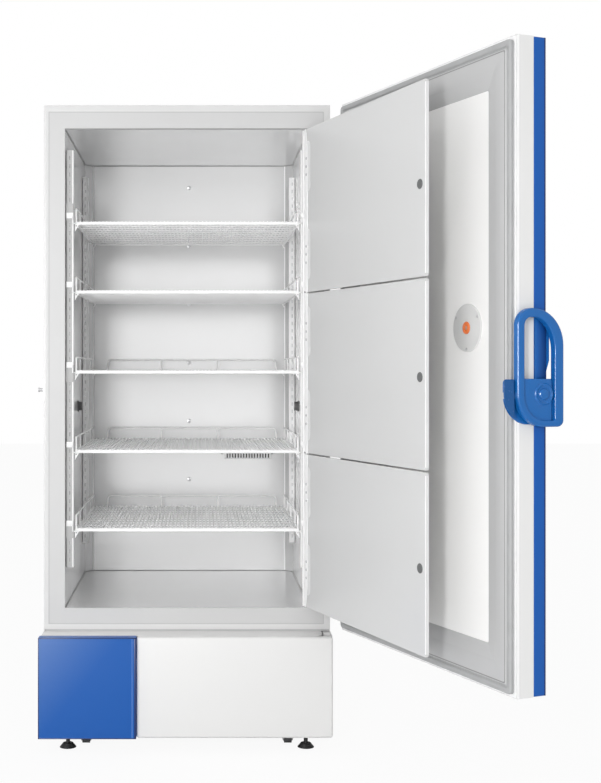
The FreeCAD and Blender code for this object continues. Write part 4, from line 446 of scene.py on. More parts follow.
# Geometry Nodes: a row of copies of one module, joined into one plain mesh
def rowTree():
    tree = bpy.data.node_groups.new("rowOfCopies", "GeometryNodeTree")
    for name, way, kind in (("Module", "INPUT", "Geometry"), ("Count", "INPUT", "Int"),
                            ("Step", "INPUT", "Vector"), ("Finish", "INPUT", "Material"),
                            ("Row", "OUTPUT", "Geometry")):
        tree.interface.new_socket(name, in_out=way, socket_type="NodeSocket" + kind)
    made = {word: tree.nodes.new(kind) for word, kind in (
        ("start", "NodeGroupInput"), ("line", "GeometryNodeMeshLine"),
        ("copies", "GeometryNodeInstanceOnPoints"), ("real", "GeometryNodeRealizeInstances"),
        ("weld", "GeometryNodeMergeByDistance"), ("paint", "GeometryNodeSetMaterial"),
        ("end", "NodeGroupOutput"))}
    made["line"].mode = "OFFSET"
    made["weld"].inputs["Distance"].default_value = 0.00002
    for first, output, second, slot in (
        ("start", "Count", "line", "Count"), ("start", "Step", "line", "Offset"),
        ("line", 0, "copies", "Points"), ("start", "Module", "copies", "Instance"),
        ("copies", 0, "real", 0), ("real", 0, "weld", 0), ("weld", 0, "paint", "Geometry"),
        ("start", "Finish", "paint", "Material"), ("paint", 0, "end", 0),
    ):
        tree.links.new(made[first].outputs[output], made[second].inputs[slot])
    return tree


copyRow = rowTree()


def rowOf(bm, count, step, finish):
    bmesh.ops.recalc_face_normals(bm, faces=bm.faces)
    mesh = bpy.data.meshes.new("module")
    bm.to_mesh(mesh)
    bm.free()
    source = bpy.data.objects.new("module", mesh)
    bpy.context.scene.collection.objects.link(source)
    modifier = source.modifiers.new("row", "NODES")
    modifier.node_group = copyRow
    for item in copyRow.interface.items_tree:
        value = {"Count": count, "Step": step, "Finish": finishes[finish]}.get(item.name)
        if item.in_out == "INPUT" and value is not None:
            modifier[item.identifier] = value
    bpy.context.view_layer.update()
    graph = bpy.context.evaluated_depsgraph_get()
    result = bpy.data.meshes.new_from_object(source.evaluated_get(graph))
    bpy.data.objects.remove(source)
    return result


def span(node, place=millimetres):
    back = place.inverted()
    points = [back @ vertex.co for vertex in nodes[node].data.vertices]
    low = Vector([min(p[axis] for p in points) for axis in range(3)])
    high = Vector([max(p[axis] for p in points) for axis in range(3)])
    return low, high


# floor, background and lights
stage = {
    "floorSize": 30, "floorColour": (0.80, 0.80, 0.80), "floorRoughness": 0.7,
    "floorSpecular": 0.1, "floorGlow": 0.93, "seen": 1.0, "worldLight": 0.68,
}
# each light: place and target from the cabinet's front, size, and power in watts
lights = {
    "front": ((-0.2, -5.2, 1.2), (0, 0.4, 1.1), (3.2, 2.6), 18),
    "key": ((-0.95, -3.9, 1.35), (0.3, 0, 1.1), (0.42, 1.1), 52),
    "left": ((-3.6, -1.8, 2.2), (0.2, 0, 1.0), (2.4, 2.6), 10),
    "above": ((0.2, -0.6, 4.4), (0.2, 0.1, 1.0), (3.4, 2.6), 8),
    "glint": ((-2.7, -4.2, 1.5), (0.9, -0.6, 1.1), (2.2, 2.0), 330),
}


def makeStage():
    world = bpy.data.worlds.new("studio")
    bpy.context.scene.world = world
    world.use_nodes = True
    tree = world.node_tree
    background = tree.nodes["Background"]
    rays = tree.nodes.new("ShaderNodeLightPath").outputs
    direct = Signal(tree, rays["Is Camera Ray"])
    through = Signal(tree, rays["Is Transmission Ray"])
    level = tree.nodes.new("ShaderNodeMix")
    feed(tree, level.inputs[0], direct.maths("MAXIMUM", through))
    feed(tree, level.inputs[2], stage["worldLight"])
    feed(tree, level.inputs[3], stage["seen"])
    feed(tree, background.inputs["Strength"], Signal(tree, level.outputs[0]))
    feed(tree, background.inputs["Color"], (1, 1, 1, 1))

    half = stage["floorSize"] / 2
    mesh = bpy.data.meshes.new("floor")
    mesh.from_pydata([(-half, -half, 0), (half, -half, 0), (half, half, 0), (-half, half, 0)],
                     [], [(0, 1, 2, 3)])
    floor = bpy.data.objects.new("floor", mesh)
    bpy.context.scene.collection.objects.link(floor)
    finish = Finish("floor", stage["floorColour"], stage["floorRoughness"],
                    **{"Specular IOR Level": stage["floorSpecular"]})
    direct = finish.node("ShaderNodeLightPath", {}, {}, "Is Camera Ray")
    mixed = finish.node("ShaderNodeMixShader", {}, {
        0: direct * stage["floorGlow"], 1: Signal(finish.tree, finish.surface.outputs[0]),
        2: finish.node("ShaderNodeEmission", {}, {})})
    feed(finish.tree, finish.output.inputs[0], mixed)
    mesh.materials.append(finish.material)


def areaLight(name, place, target, size, power):
    data = bpy.data.lights.new(name, "AREA")
    data.shape = "RECTANGLE"
    data.size, data.size_y = size
    data.energy = power
    light = bpy.data.objects.new(name, data)
    light.location = frontMiddle + Vector(place)
    aim = Vector(target) - Vector(place)
    light.rotation_euler = aim.to_track_quat("-Z", "Y").to_euler()
    bpy.context.scene.collection.objects.link(light)


makeStage()
for name, values in lights.items():
    areaLight(name, *values)
bpy.data.objects["key"].visible_glossy = False         # lights the chamber, without a mirror image
bpy.data.objects["glint"].visible_diffuse = False      # makes only the highlights on the lever
print("stage set")


# CAD nodes that keep their shape, under the finish that each gets
kept = {
    "casing": "cabinet_wrapper back_panel bottom_panel door_hinges_cabinet base_chassis "
              "door_hinges_door",
    "foam": "insulation_foam door_foam",
    "liner": "inner_liner",
    "breaker": "breaker_frame",
    "stopper": "port_stoppers",
    "strip": "hinge_strip",
    "bracket": "inner_door_hinges",
    "post": "inner_door_catches",
    "steel": "door_keeper caster_forks_rear latch_hook caster_fork_front_left "
             "caster_fork_front_right",
    "ledge": "base_ledge",
    "galvanised": "rear_vent_grille fan_motor control_box",
    "enamel": "compressor",
    "fins": "condenser",
    "black": "power_inlet display_panel fan_blades",
    "doorEdge": "door_pan",
    "handle": "latch_housing",
    "darkRubber": "foot_left foot_right",
    "wheel": "caster_wheel_front_left caster_wheel_front_right caster_wheel_rear_left "
             "caster_wheel_rear_right",
}
for finish, names in kept.items():
    for node in names.split():
        mesh = nodes[node].data
        mesh.materials.clear()
        mesh.materials.append(finishes[finish])
print("CAD nodes dressed")


# shelves: round wires welded on a rim, with guard rails at the sides and the back
shelf = {
    "wire": 2.3, "wireCount": 58, "wireFront": 2.5, "wireBack": 1,
    "cross": 2.6, "crossCount": 11, "rim": 3.2, "frontRod": 4.6, "rodDrop": 0.9, "rodEnd": 1,
    "guard": 37.8, "rail": 2.5, "sideRail": 3.5, "sideBend": 9, "sidePosts": (117, 293, 460, 565),
    "rearGuard": 35, "rearLeft": -280, "rearRight": 300, "rearLean": 6, "rearBend": 10,
    "rearPosts": (-96, 101),
}


def wireShelf(node):
    low, high = span(node)
    top = high.z - shelf["guard"] - shelf["rail"]
    middle = (low.x + high.x) / 2
    wire, cross, rim, rail, rod = pick(shelf, "wire cross rim rail frontRod")
    under = top - 2 * wire
    bm = bmesh.new()
    addRod(bm, (low.x + rim, low.y + shelf["wireFront"], top - wire),
           (low.x + rim, high.y - shelf["wireBack"], top - wire), wire, 8)
    step = (high.x - low.x - 2 * rim) / shelf["wireCount"]
    deck = rowOf(bm, shelf["wireCount"] + 1, (step, 0, 0), "wire")
    bm = bmesh.new()
    addRod(bm, (low.x + rim, low.y + rim, under - cross),
           (high.x - rim, low.y + rim, under - cross), cross, 8)
    step = (high.y - low.y - 2 * rim) / (shelf["crossCount"] - 1)
    crossing = rowOf(bm, shelf["crossCount"], (0, step, 0), "wire")

    bm = bmesh.new()
    rodEnd, rodZ = shelf["rodEnd"], top - rod - shelf["rodDrop"]
    addRod(bm, (low.x + rodEnd, low.y + rod, rodZ), (high.x - rodEnd, low.y + rod, rodZ), rod, 16)
    frameZ = under - rim
    corners = [(low.x + rim, low.y + rim), (high.x - rim, low.y + rim),
               (high.x - rim, high.y - rim), (low.x + rim, high.y - rim)]
    for start, end in zip(corners, corners[1:] + corners[:1]):
        addRod(bm, (*start, frameZ), (*end, frameZ), rim, 12)
    front, back, guardZ = low.y + rail, high.y - rim, high.z - rail
    for x in (low.x + shelf["sideRail"], high.x - shelf["sideRail"]):
        path = [Vector((x, *spot)) for spot in (
            (front, frameZ), (front, guardZ), (back, guardZ), (back, frameZ))]
        addTube(bm, roundedPath(path, shelf["sideBend"]), rail, 10)
        for reach in shelf["sidePosts"]:
            y = min(front + reach, back)
            addRod(bm, (x, y, frameZ), (x, y, guardZ), rail, 10)
    y, rearZ = high.y - rail, top + shelf["rearGuard"]
    left, right = middle + shelf["rearLeft"], middle + shelf["rearRight"]
    lean = shelf["rearLean"]
    path = [Vector((x, y, z)) for x, z in (
        (left - lean, frameZ), (left, rearZ), (right, rearZ), (right + lean, frameZ))]
    addTube(bm, roundedPath(path, shelf["rearBend"]), rail, 10)
    for x in shelf["rearPosts"]:
        addRod(bm, (middle + x, y, frameZ), (middle + x, y, rearZ), rail, 10)
    addMeshes(bm, deck, crossing)
    piece(node + "Wires", bm, "wire", "cabinet", "shelf_white", replaced=[node])


for number in range(1, 6):
    wireShelf(f"shelf_{number}")
print("shelves drawn")


# slotted posts and standards, each with a painted highlight: a white lip along the edge towards the chamber's
# middle
channel = {
    "front_posts": (22, "post", "liner_grey"), "rear_standards": (20, "bracket", "shelf_white"),
    "wall": 1.5, "setBack": 0.4, "pitch": 25, "slotWide": 2.4, "slotTall": 12,
    "lip": 4, "lipThick": 1, "lipRound": 0.4,
}


def slottedChannels(node):
    width, finish, slotName = channel[node]
    wall, pitch, slotWide, slotTall, lip = pick(channel, "wall pitch slotWide slotTall lip")
    low, high = span(node)
    sheet = low.y + channel["setBack"]
    count = int((high.z - low.z) // pitch)
    margin = (high.z - low.z - count * pitch) / 2
    rows = (0, (pitch - slotTall) / 2, (pitch + slotTall) / 2, pitch)
    bm, highlightLips = bmesh.new(), bmesh.new()
    for left, edge in ((low.x, low.x + width - lip), (high.x - width, high.x - width)):
        for x in (left, left + width - wall):
            addBox(bm, (x, sheet, low.z), (x + wall, high.y, high.z))
        for z in (low.z, high.z - margin):
            addBox(bm, (left, sheet, z), (left + width, low.y + wall, z + margin))
        middle = left + width / 2
        columns = (left, middle - slotWide / 2, middle + slotWide / 2, left + width)
        module = bmesh.new()
        for n in range(3):
            for k in range(3):
                if (n, k) != (1, 1):
                    addBox(module, (columns[n], sheet, low.z + margin + rows[k]),
                           (columns[n + 1], low.y + wall, low.z + margin + rows[k + 1]))
        addMeshes(bm, rowOf(module, count, (0, 0, pitch), finish))
        addBox(highlightLips, (edge, low.y, low.z), (edge + lip, low.y + channel["lipThick"], high.z),
               channel["lipRound"])
    piece(node + "Slotted", bm, finish, "cabinet", slotName, replaced=[node])
    piece(node + "Edges", highlightLips, "strip", "cabinet", slotName)


slottedChannels("front_posts")
slottedChannels("rear_standards")
print("channels drawn")


# shelf clips: a hooked tab on the post and a small gusset under the shelf's corner
clip = {
    "inset": 1, "wide": 20, "tall": 17, "thick": 2.4, "sunk": 0.3, "rise": 7,
    "hook": 3, "hookTop": 4, "ledge": 9, "ledgeOut": 9, "ledgeDeep": 6, "ledgeThick": 2.4,
    "gussetWide": 13, "gussetTall": 22, "gussetThick": 1.6, "gussetGap": 1, "under": 9,
    "hole": 1.8, "holeIn": 4, "holeDown": 5, "holeDeep": 0.2,
    "tabRound": 0.7, "ledgeRound": 0.5,
}


def tabBlock(bm, x, inward, near, far, y, deep, bottom, top, edge):
    ends = sorted((x + inward * near, x + inward * far))
    addBox(bm, (ends[0], y - clip["thick"], bottom), (ends[1], y + deep, top), edge)


def shelfClips():
    tabs, holes = bmesh.new(), bmesh.new()
    postLow, postHigh = span("front_posts")
    rearLow = span("rear_standards")[0]
    wide, hook = clip["wide"], clip["wide"] - clip["hook"]
    sideWide, tall, thick = pick(clip, "gussetWide gussetTall gussetThick")
    for number in range(1, 6):
        low, high = span(f"shelf_{number}")
        top = high.z - shelf["guard"] - shelf["rail"]
        tab, ledge, under = top + clip["rise"], top - clip["ledge"], top - clip["under"]
        for x, inward in ((postLow.x + clip["inset"], 1), (postHigh.x - clip["inset"], -1)):
            for y in (postLow.y, rearLow.y):
                tabBlock(tabs, x, inward, 0, wide, y, clip["sunk"], tab, tab + clip["tall"],
                         clip["tabRound"])
                tabBlock(tabs, x, inward, hook, wide + clip["ledgeOut"], y, clip["ledgeDeep"],
                         ledge, ledge + clip["ledgeThick"], clip["ledgeRound"])
                tabBlock(tabs, x, inward, hook, wide, y, 0, ledge, tab + clip["hookTop"],
                         clip["ledgeRound"])
        for x, inward in ((low.x, 1), (high.x, -1)):
            for y in (low.y, high.y - thick - clip["gussetGap"]):
                outline = [(x, under), (x + inward * sideWide, under), (x, under - tall)]
                addRings(tabs, [[Vector((px, level, pz)) for px, pz in outline]
                                for level in (y, y + thick)])
                holeX, holeZ = x + inward * clip["holeIn"], under - clip["holeDown"]
                addRod(holes, (holeX, y - clip["holeDeep"], holeZ),
                       (holeX, y + clip["holeDeep"], holeZ), clip["hole"], 10)
    piece("shelfClipTabs", tabs, "bracket", "cabinet", "shelf_white", replaced=["shelf_clips"])
    piece("gussetHoles", holes, "seam", "cabinet", "shelf_white")


shelfClips()


# fittings on the back wall, and the plate behind the inner doors' hinges
backScrews = {"count": 6}
sensor = {
    "edge": 2, "slots": 16, "pitch": 9.65, "slotWide": 4.5, "slotTall": 15, "slotRise": 3,
    "slotOut": 0.2, "slotDeep": 1, "slotRound": 0.3,
    "screw": 3, "screwRise": 2, "screwSunk": 0.5, "screwLeft": 9, "screwRight": 5,
}
jamb = {"left": 695.5, "right": 713.6, "front": 38.1, "back": 39.7, "low": 408, "high": 1827,
        "round": 0.4}


def screwHead(bm, radius, rise, matrix):
    addLathe(bm, [(radius, 0), (radius, rise * 0.25), (radius * 0.88, rise * 0.7),
                  (radius * 0.55, rise * 0.95), (radius * 0.28, rise), (radius * 0.22, rise * 0.5),
                  (0, rise * 0.45)], matrix, 20)


def backWallScrews():
    low, high = span("liner_screws")
    radius = (high.x - low.x) / 2
    gap = (high.z - low.z - 2 * radius) / (backScrews["count"] - 1)
    lowest = Vector(((low.x + high.x) / 2, high.y, low.z + radius))
    module, bm = bmesh.new(), bmesh.new()
    screwHead(module, radius, high.y - low.y, facing((0, -1, 0), lowest))
    addMeshes(bm, rowOf(module, backScrews["count"], (0, 0, gap), "steel"))
    piece("linerScrewRow", bm, "steel", "cabinet", "bright_steel", replaced=["liner_screws"])


def sensorCover():
    low, high = span("sensor_cover")
    boxPiece("sensorCoverShell", low, high, sensor["edge"], 3, "bracket", "cabinet",
             "shelf_white", replaced=["sensor_cover"])
    slots, pitch, slotWide = sensor["slots"], sensor["pitch"], sensor["slotWide"]
    start = (low.x + high.x - pitch * (slots - 1)) / 2
    bottom = low.z + sensor["slotRise"]
    module, bm = bmesh.new(), bmesh.new()
    addBox(module, (start - slotWide / 2, low.y - sensor["slotOut"], bottom),
           (start + slotWide / 2, low.y + sensor["slotDeep"], bottom + sensor["slotTall"]),
           sensor["slotRound"], 1)
    addMeshes(bm, rowOf(module, slots, (pitch, 0, 0), "black"))
    piece("sensorCoverSlots", bm, "black", "cabinet", "shelf_white")
    bm = bmesh.new()
    for x in (low.x - sensor["screwLeft"], high.x + sensor["screwRight"]):
        spot = Vector((x, high.y - sensor["screwSunk"], (low.z + high.z) / 2))
        screwHead(bm, sensor["screw"], sensor["screwRise"], facing((0, -1, 0), spot))
    piece("sensorCoverScrews", bm, "seam", "cabinet", "bright_steel")


def hingeJamb():
    boxPiece("hingeJamb", pick(jamb, "left front low"), pick(jamb, "right back high"),
             jamb["round"], 2, "strip", "cabinet", "inner_door_white")


backWallScrews()
sensorCover()
hingeJamb()


# chamber: fold lines, painted highlights as white lines on the rear corners, and the front frame round it
chamber = {
    "low": (-12, 26, 405), "high": (714, 712, 1830), "strip": 26, "fold": 1.7, "inset": 0.4,
    "line": 2.0, "lineIn": 0.3, "lineGap": 2,
    "lipTall": 3.2, "lipOut": 3, "lipIn": 1, "lipEnd": 0.5, "lipTop": 0.2,
    "groove": 2.4, "grooveCorner": 1.5, "grooveSunk": 0.1,
}


def chamberLines():
    (left, front, bottom), (right, back, top) = chamber["low"], chamber["high"]
    strip, edge, gap = chamber["strip"], chamber["inset"], chamber["lineGap"]
    folds, lines = bmesh.new(), bmesh.new()
    for z in (bottom + edge, top - edge):
        points = [(left + edge, front + gap), (left + edge, back - strip),
                  (left + strip, back - edge), (right - strip, back - edge),
                  (right - edge, back - strip), (right - edge, front + gap)]
        for start, end in zip(points, points[1:]):
            addRod(folds, (*start, z), (*end, z), chamber["fold"], 8)
    # painted highlight: white rods along the rear corner edges of the back wall
    for x in (left + strip, right - strip):
        y = back - chamber["lineIn"]
        addRod(lines, (x, y, bottom + gap), (x, y, top - gap), chamber["line"], 8)
    piece("linerFolds", folds, "seam", "cabinet", "liner_plastic")
    piece("linerCornerHighlights", lines, "strip", "cabinet", "liner_plastic")
    lipEnd = chamber["lipEnd"]
    boxPiece("linerLip", (left + lipEnd, front - chamber["lipOut"], top - chamber["lipTall"]),
             (right - lipEnd, front + chamber["lipIn"], top - chamber["lipTop"]), 0, 2,
             "seam", "cabinet", "liner_plastic")


def casingFront():
    outerLow, outerHigh = span("cabinet_wrapper")
    innerLow, innerHigh = span("breaker_frame")
    front = outerLow.y
    groove, corner, sunk = pick(chamber, "groove grooveCorner grooveSunk")
    bm = bmesh.new()
    rings = []
    for share, amount, level in ((0, 0.2, 3.2), (0, 0.5, 1.0), (0, 1.4, 0), (0, 3, -0.15),
                                 (1, -groove - 1.2, -0.15), (1, -groove, 0.2)):
        rings.append(insetLoop(outerLow.lerp(innerLow, share), outerHigh.lerp(innerHigh, share),
                               amount, front + level, corner, 2))
    addRings(bm, rings, False, False)
    piece("casingFrontEdge", bm, "casing", "cabinet", "white_paint")
    # painted shade: a flat grey band in the gap between the casing and the breaker frame
    bm = bmesh.new()
    addRings(bm, [insetLoop(innerLow, innerHigh, amount, front - sunk, corner, 2)
                  for amount in (-groove - 0.2, 0.6)], False, False)
    piece("casingGapShade", bm, "gapShadeGrey", "cabinet", "breaker_grey")


chamberLines()
casingFront()
print("chamber drawn")


# inner doors: thin sheets with rounded rims, hinge leaves, screws and a strike
inner = {
    "strikes": {"top": 1571, "middle": 1095, "bottom": 624},
    "corner": 8, "rim": 1.2, "edge": 4.5, "front": -4.0, "back": 4.0, "sunk": 0.3,
    "knuckle": 4.0, "knuckleHalf": 40, "wingIn": 2, "wingFront": 1.5,
    "stripWide": 21, "stripThick": 1.8, "stripTaper": 60, "stripTip": 8, "margin": 112,
    "leafTall": 150, "leafWide": 38, "leafThick": 0.8, "leafRound": 16,
    "screw": 4.2, "screwRise": 2.0, "screwPitch": 24, "screwIn": 15,
    "strike": 12.5, "strikeInset": 30, "strikeThick": 2.0,
    "edgeWide": 5, "edgeThick": 0.5, "edgeIn": 0.6, "capOut": 0.35, "capIn": 0.7, "capBack": 0.8,
    "leafEdge": 0.4, "capRound": 0.2, "edgeRound": 0.3,
    "gapFar": 8, "gapNear": 2, "gapDown": 1.5, "gapUp": 4, "gapThick": 2.2,
}


def hingeStrip(bm, x, low, high, name):
    wide, tip, taper = inner["stripWide"], inner["stripTip"], inner["stripTaper"]
    outline = [(x, low), (x, high)]
    outline += [(x - tip, high), (x - wide, high - taper)] if name == "top" else [(x - wide, high)]
    outline += [(x - wide, low + taper), (x - tip, low)] if name == "bottom" else [(x - wide, low)]
    centre = (x - wide / 2, (low + high) / 2)
    thick = inner["stripThick"]
    rings = []
    for depth, shrink in ((-0.2, 0), (thick - 0.7, 0), (thick, 0.8)):
        rings.append([Vector((px - math.copysign(shrink, px - centre[0]), inner["back"] + depth,
                              pz - math.copysign(shrink, pz - centre[1]))) for px, pz in outline])
    addRings(bm, rings)


def innerDoor(name, strikeZ):
    node = "inner_door_" + name
    low, high = span(node, innerFrame)
    stripX, back, corner, sunk = -inner["edge"], inner["back"], inner["corner"], inner["sunk"]
    bm = bmesh.new()
    outline = roundedRectangle((low.x, low.z), (stripX, high.z), corner)
    roundedSlab(bm, outline, inner["front"], back, inner["rim"])
    piece(node + "Sheet", bm, "innerDoor", node, "inner_door_white", innerFrame, [node])

    hinges = (low.z + inner["margin"], high.z - inner["margin"])
    tall, wide = inner["leafTall"] / 2, inner["leafWide"]
    edgeBack, edgeLow, edgeHigh = back + inner["edgeThick"], low.z + corner, high.z - corner
    bm = bmesh.new()
    for z in hinges:
        outline = roundedRectangle((stripX - wide, z - tall), (stripX, z + tall),
                                   inner["leafRound"])
        roundedSlab(bm, outline, back - sunk, back + inner["leafThick"],
                    inner["leafEdge"], 2)
    addBox(bm, (low.x - inner["capOut"], inner["front"] + inner["capBack"], edgeLow),
           (low.x + inner["capIn"], edgeBack, edgeHigh), inner["capRound"], 1)
    piece(node + "Leaves", bm, "leaf", node, "inner_door_white", innerFrame)

    bm = bmesh.new()
    hingeStrip(bm, stripX, low.z, high.z, name)
    half = inner["knuckleHalf"]
    for z in hinges:
        addRod(bm, (0, 0, z - half), (0, 0, z + half), inner["knuckle"], 20)
        addBox(bm, (stripX - inner["wingIn"], inner["wingFront"], z - half),
               (0, inner["knuckle"], z + half))
    # painted highlight: a white bar along the back of the free edge
    addBox(bm, (low.x + inner["edgeIn"], back - sunk, edgeLow),
           (low.x + inner["edgeWide"], edgeBack, edgeHigh), inner["edgeRound"], 1)
    piece(node + "Strip", bm, "strip", node, "inner_door_white", innerFrame)
    # painted shade: a black block in the gap under the door, beside the hinge strip
    if name != "bottom":
        boxPiece(node + "GapShadeBlock", (stripX - inner["gapFar"], back, low.z - inner["gapDown"]),
                 (stripX - inner["gapNear"], back + inner["gapThick"], low.z + inner["gapUp"]),
                 inner["edgeRound"], 1, "black", node, "inner_door_white", innerFrame)

    bm = bmesh.new()
    for z in hinges:
        for n in (-1, 0, 1):
            spot = Vector((stripX - inner["screwIn"], back + inner["stripThick"],
                           z + n * inner["screwPitch"]))
            screwHead(bm, inner["screw"], inner["screwRise"], facing((0, 1, 0), spot))
    piece(node + "Screws", bm, "steel", node, "bright_steel", innerFrame)
    bm = bmesh.new()
    radius, thick = inner["strike"], inner["strikeThick"]
    spot = Vector((low.x + inner["strikeInset"], back, strikeZ))
    addLathe(bm, [(radius, -sunk), (radius, thick * 0.6), (radius - 1, thick), (0, thick)],
             facing((0, 1, 0), spot), 36)
    piece(node + "Strikes", bm, "strikeGrey", node, "bright_steel", innerFrame)


for name, strikeZ in inner["strikes"].items():
    innerDoor(name, strikeZ)
print("inner doors drawn")


# outer door, drawn as rings. The rim's are insets, rises over the pan's face and corner radii,
# the seam's are insets and rises from the start of the liner's ring.
door = {
    "draft": 10, "ringWide": 54, "ringTop": -5.5, "bevel": 36, "recess": -16.5, "overlap": 2,
    "rim": ((-0.3, -7.5, 3), (-0.5, -6.5, 3), (-0.5, -3.5, 3), (0.2, -1.4, 3), (1.6, -0.1, 3),
            (3.4, 0.1, 3), (9, 0.1, 4), (9, -0.8, 4)),
    "seam": ((-2, -2.1), (-0.9, -0.7), (0.5, 0.2), (2.6, 0.2)),
    "panelLow": 0.1, "panelHigh": 1.1, "panelEdge": 0.6, "panelCorner": 4,
    "gasketRound": 12, "frontRound": 4.5, "cornerWide": 2, "cornerDeep": 6,
    "cornerOut": 0.1, "cornerFront": 1.5, "cornerEnd": 1, "cornerRound": 0.5,
}
port = {
    "step": 24, "hub": 22, "well": 17, "wellEdge": 15,
    "screws": (30, 150, 270), "screwCircle": 53, "screw": 3.6, "screwRise": 1.4,
    "plugRim": 7, "plugHole": 5.8, "plugDeep": 3,
}


def doorRings(name, node, profile, finish, slotName, cap=False, steps=8, **named):
    low, high = span(node, doorFrame)
    bm = bmesh.new()
    addRings(bm, [insetLoop(low, high, amount, level, radius, steps)
                  for amount, level, radius in profile], False, cap)
    piece(name, bm, finish, "outer_door", slotName, doorFrame, **named)


def doorLiner():
    face = span("door_pan", doorFrame)[1].y
    draft, wide, ring, recess = pick(door, "draft ringWide ringTop recess")
    foot = wide + door["bevel"]
    doorRings("doorLinerSheet", "door_liner", (
        (0, face + 0.2, 4), (2, face + 1.2, 4), (draft - 4, ring - 2.5, 5),
        (draft - 1.5, ring - 0.6, 5), (draft + 1.5, ring, 5), (wide - 3, ring, 5),
        (wide, ring - 1.6, 5), (wide + 3, ring - 2.0, 5), (foot - 4, recess + 2.6, 5),
        (foot - 1, recess + 1.4, 5), (foot, recess, 4),
    ), "doorRing", "liner_plastic", cap=True, replaced=["door_liner"], sharp=50)
    doorRings("doorSeamLine", "door_liner", [
        (draft + amount, ring + rise, 5) for amount, rise in door["seam"]],
        "seam", "gasket_rubber")

    low, high = span("door_liner", doorFrame)
    edge = foot - door["overlap"]
    outline = roundedRectangle((low.x + edge, low.z + edge), (high.x - edge, high.z - edge),
                               door["panelCorner"])
    bm = bmesh.new()
    roundedSlab(bm, outline, recess + door["panelLow"], recess + door["panelHigh"],
                door["panelEdge"], 2)
    piece("doorRecessPanel", bm, "recess", "outer_door", "liner_plastic", doorFrame)


def doorSeal():
    face = span("door_pan", doorFrame)[1].y
    # painted highlight: the rim where the door's inner face turns to its side, in a whiter finish than the pan
    doorRings("doorRimReturn", "door_pan", [
        (amount, face + rise, radius) for amount, rise, radius in door["rim"]],
        "strip", "white_paint", steps=4)
    top = span("door_gasket", doorFrame)[1].y
    profile = ((1, face), (0.4, face + 1.6), (2.2, face + 3.2), (0.6, face + 5), (0.2, top - 3.4),
               (1.2, top - 0.8), (3.2, top), (12, top), (14, top - 0.9), (15, top - 3.2),
               (16.5, top - 4.6), (18, top - 3.4), (20, top - 2.4), (22.5, top - 3),
               (25, top - 5.5), (25.6, face + 2), (25, face))
    doorRings("doorGasketSeal", "door_gasket", [
        (amount, level, max(3, door["gasketRound"] - amount * 0.3)) for amount, level in profile],
        "gasket", "gasket_rubber", steps=4, replaced=["door_gasket"], sharp=60)


def doorFronts():
    for node, finish, slotName in (("door_front_blue", "blue", "blue_paint"),
                                   ("door_front_white", "doorEdge", "white_paint")):
        boxPiece(node + "Moulding", *span(node, doorFrame), door["frontRound"], 4, finish,
                 "outer_door", slotName, doorFrame, [node])
    low, high = span("door_front_blue", doorFrame)
    out, front, end = pick(door, "cornerOut cornerFront cornerEnd")
    # painted shade: a dark blue strip along the blue front's corner at its free edge
    boxPiece("doorFrontCorner", (low.x - out, low.y + front, low.z + end),
             (low.x + door["cornerWide"], low.y + door["cornerDeep"], high.z - end),
             door["cornerRound"], 2, "edgeShadeBlue", "outer_door", "blue_paint", doorFrame)


def portPlate():
    low, high = span("port_plate", doorFrame)
    centre = Vector(((low.x + high.x) / 2, low.y, (low.z + high.z) / 2))
    radius, thick = (high.x - low.x) / 2, high.y - low.y
    bm = bmesh.new()
    addLathe(bm, [(radius - 0.5, -1.6), (radius, 0), (radius, thick * 0.5),
                  (radius - 0.8, thick * 0.85), (radius - 2.4, thick), (port["step"], thick),
                  (port["hub"], thick * 1.15), (port["well"], thick * 1.15),
                  (port["wellEdge"], thick), (0, thick)], facing((0, 1, 0), centre), 64)
    piece("portPlateDisc", bm, "portWhite", "outer_door", "liner_plastic", doorFrame,
          ["port_plate"])
    bm = bmesh.new()
    for turn in port["screws"]:
        spot = centre + Vector((port["screwCircle"] * math.cos(math.radians(turn)), thick,
                                port["screwCircle"] * math.sin(math.radians(turn))))
        screwHead(bm, port["screw"], port["screwRise"], facing((0, 1, 0), spot))
    piece("portPlateScrews", bm, "steel", "outer_door", "bright_steel", doorFrame)

    low, high = span("port_plug", doorFrame)
    radius, rise = (high.x - low.x) / 2, high.y - low.y
    rim, hole, floor = port["plugRim"], port["plugHole"], rise - port["plugDeep"]
    bm = bmesh.new()
    addLathe(bm, [(radius - 1, 0), (radius, rise * 0.6), (radius - 0.8, rise * 0.86),
                  (radius - 3, rise), (rim, rise), (rim - 0.6, rise - 0.8), (hole, floor),
                  (0, floor)], facing((0, 1, 0), Vector((centre.x, low.y, centre.z))), 48)
    piece("portPlugStopper", bm, "orange", "outer_door", "orange_plastic", doorFrame,
          ["port_plug"])


doorLiner()
doorSeal()
doorFronts()
portPlate()
print("outer door drawn")


# latch: drawn on the door's free edge, (out from the inner face, up, out from the edge)
edgeX = span("door_pan", doorFrame)[0].x
faceY = span("door_pan", doorFrame)[1].y
edgeFrame = doorFrame @ Matrix((
    (0, 0, -1, edgeX), (-1, 0, 0, faceY), (0, 1, 0, 0), (0, 0, 0, 1)))
lever = {
    "low": 979, "high": 1257.5, "near": -14, "far": 117, "back": 8, "front": 25,
    "round": 6, "corners": ((84, 87), (42, 42), (76, 76), (16, 16)),
    "opening": (5, 994, 91, 1236), "openingCorners": ((57, 79), (20, 20), (60, 60), (5, 5)),
    "openingRound": 3, "plateTop": 1092, "plateRight": 84, "plateFront": 19.5, "plateRound": 1.2,
    "overlap": 0.5, "plateBack": 0.4, "grooveTop": 1090, "grooveFront": 14,
    "plateClear": 4, "boss": (62.5, 1056), "bossRing": 24, "bossCap": 12, "bore": 8.6,
    "boreRound": 0.2,
}
cover = {"near": -50.5, "far": -15.5, "low": 984.5, "high": 1091, "brow": 6, "heel": 76,
         "top": 20.6, "thick": 2, "round": 0.6}
guard = {"near": 51, "far": 81, "low": 1092, "high": 1240, "rise": 4.4, "thick": 1,
         "round": 0.4}


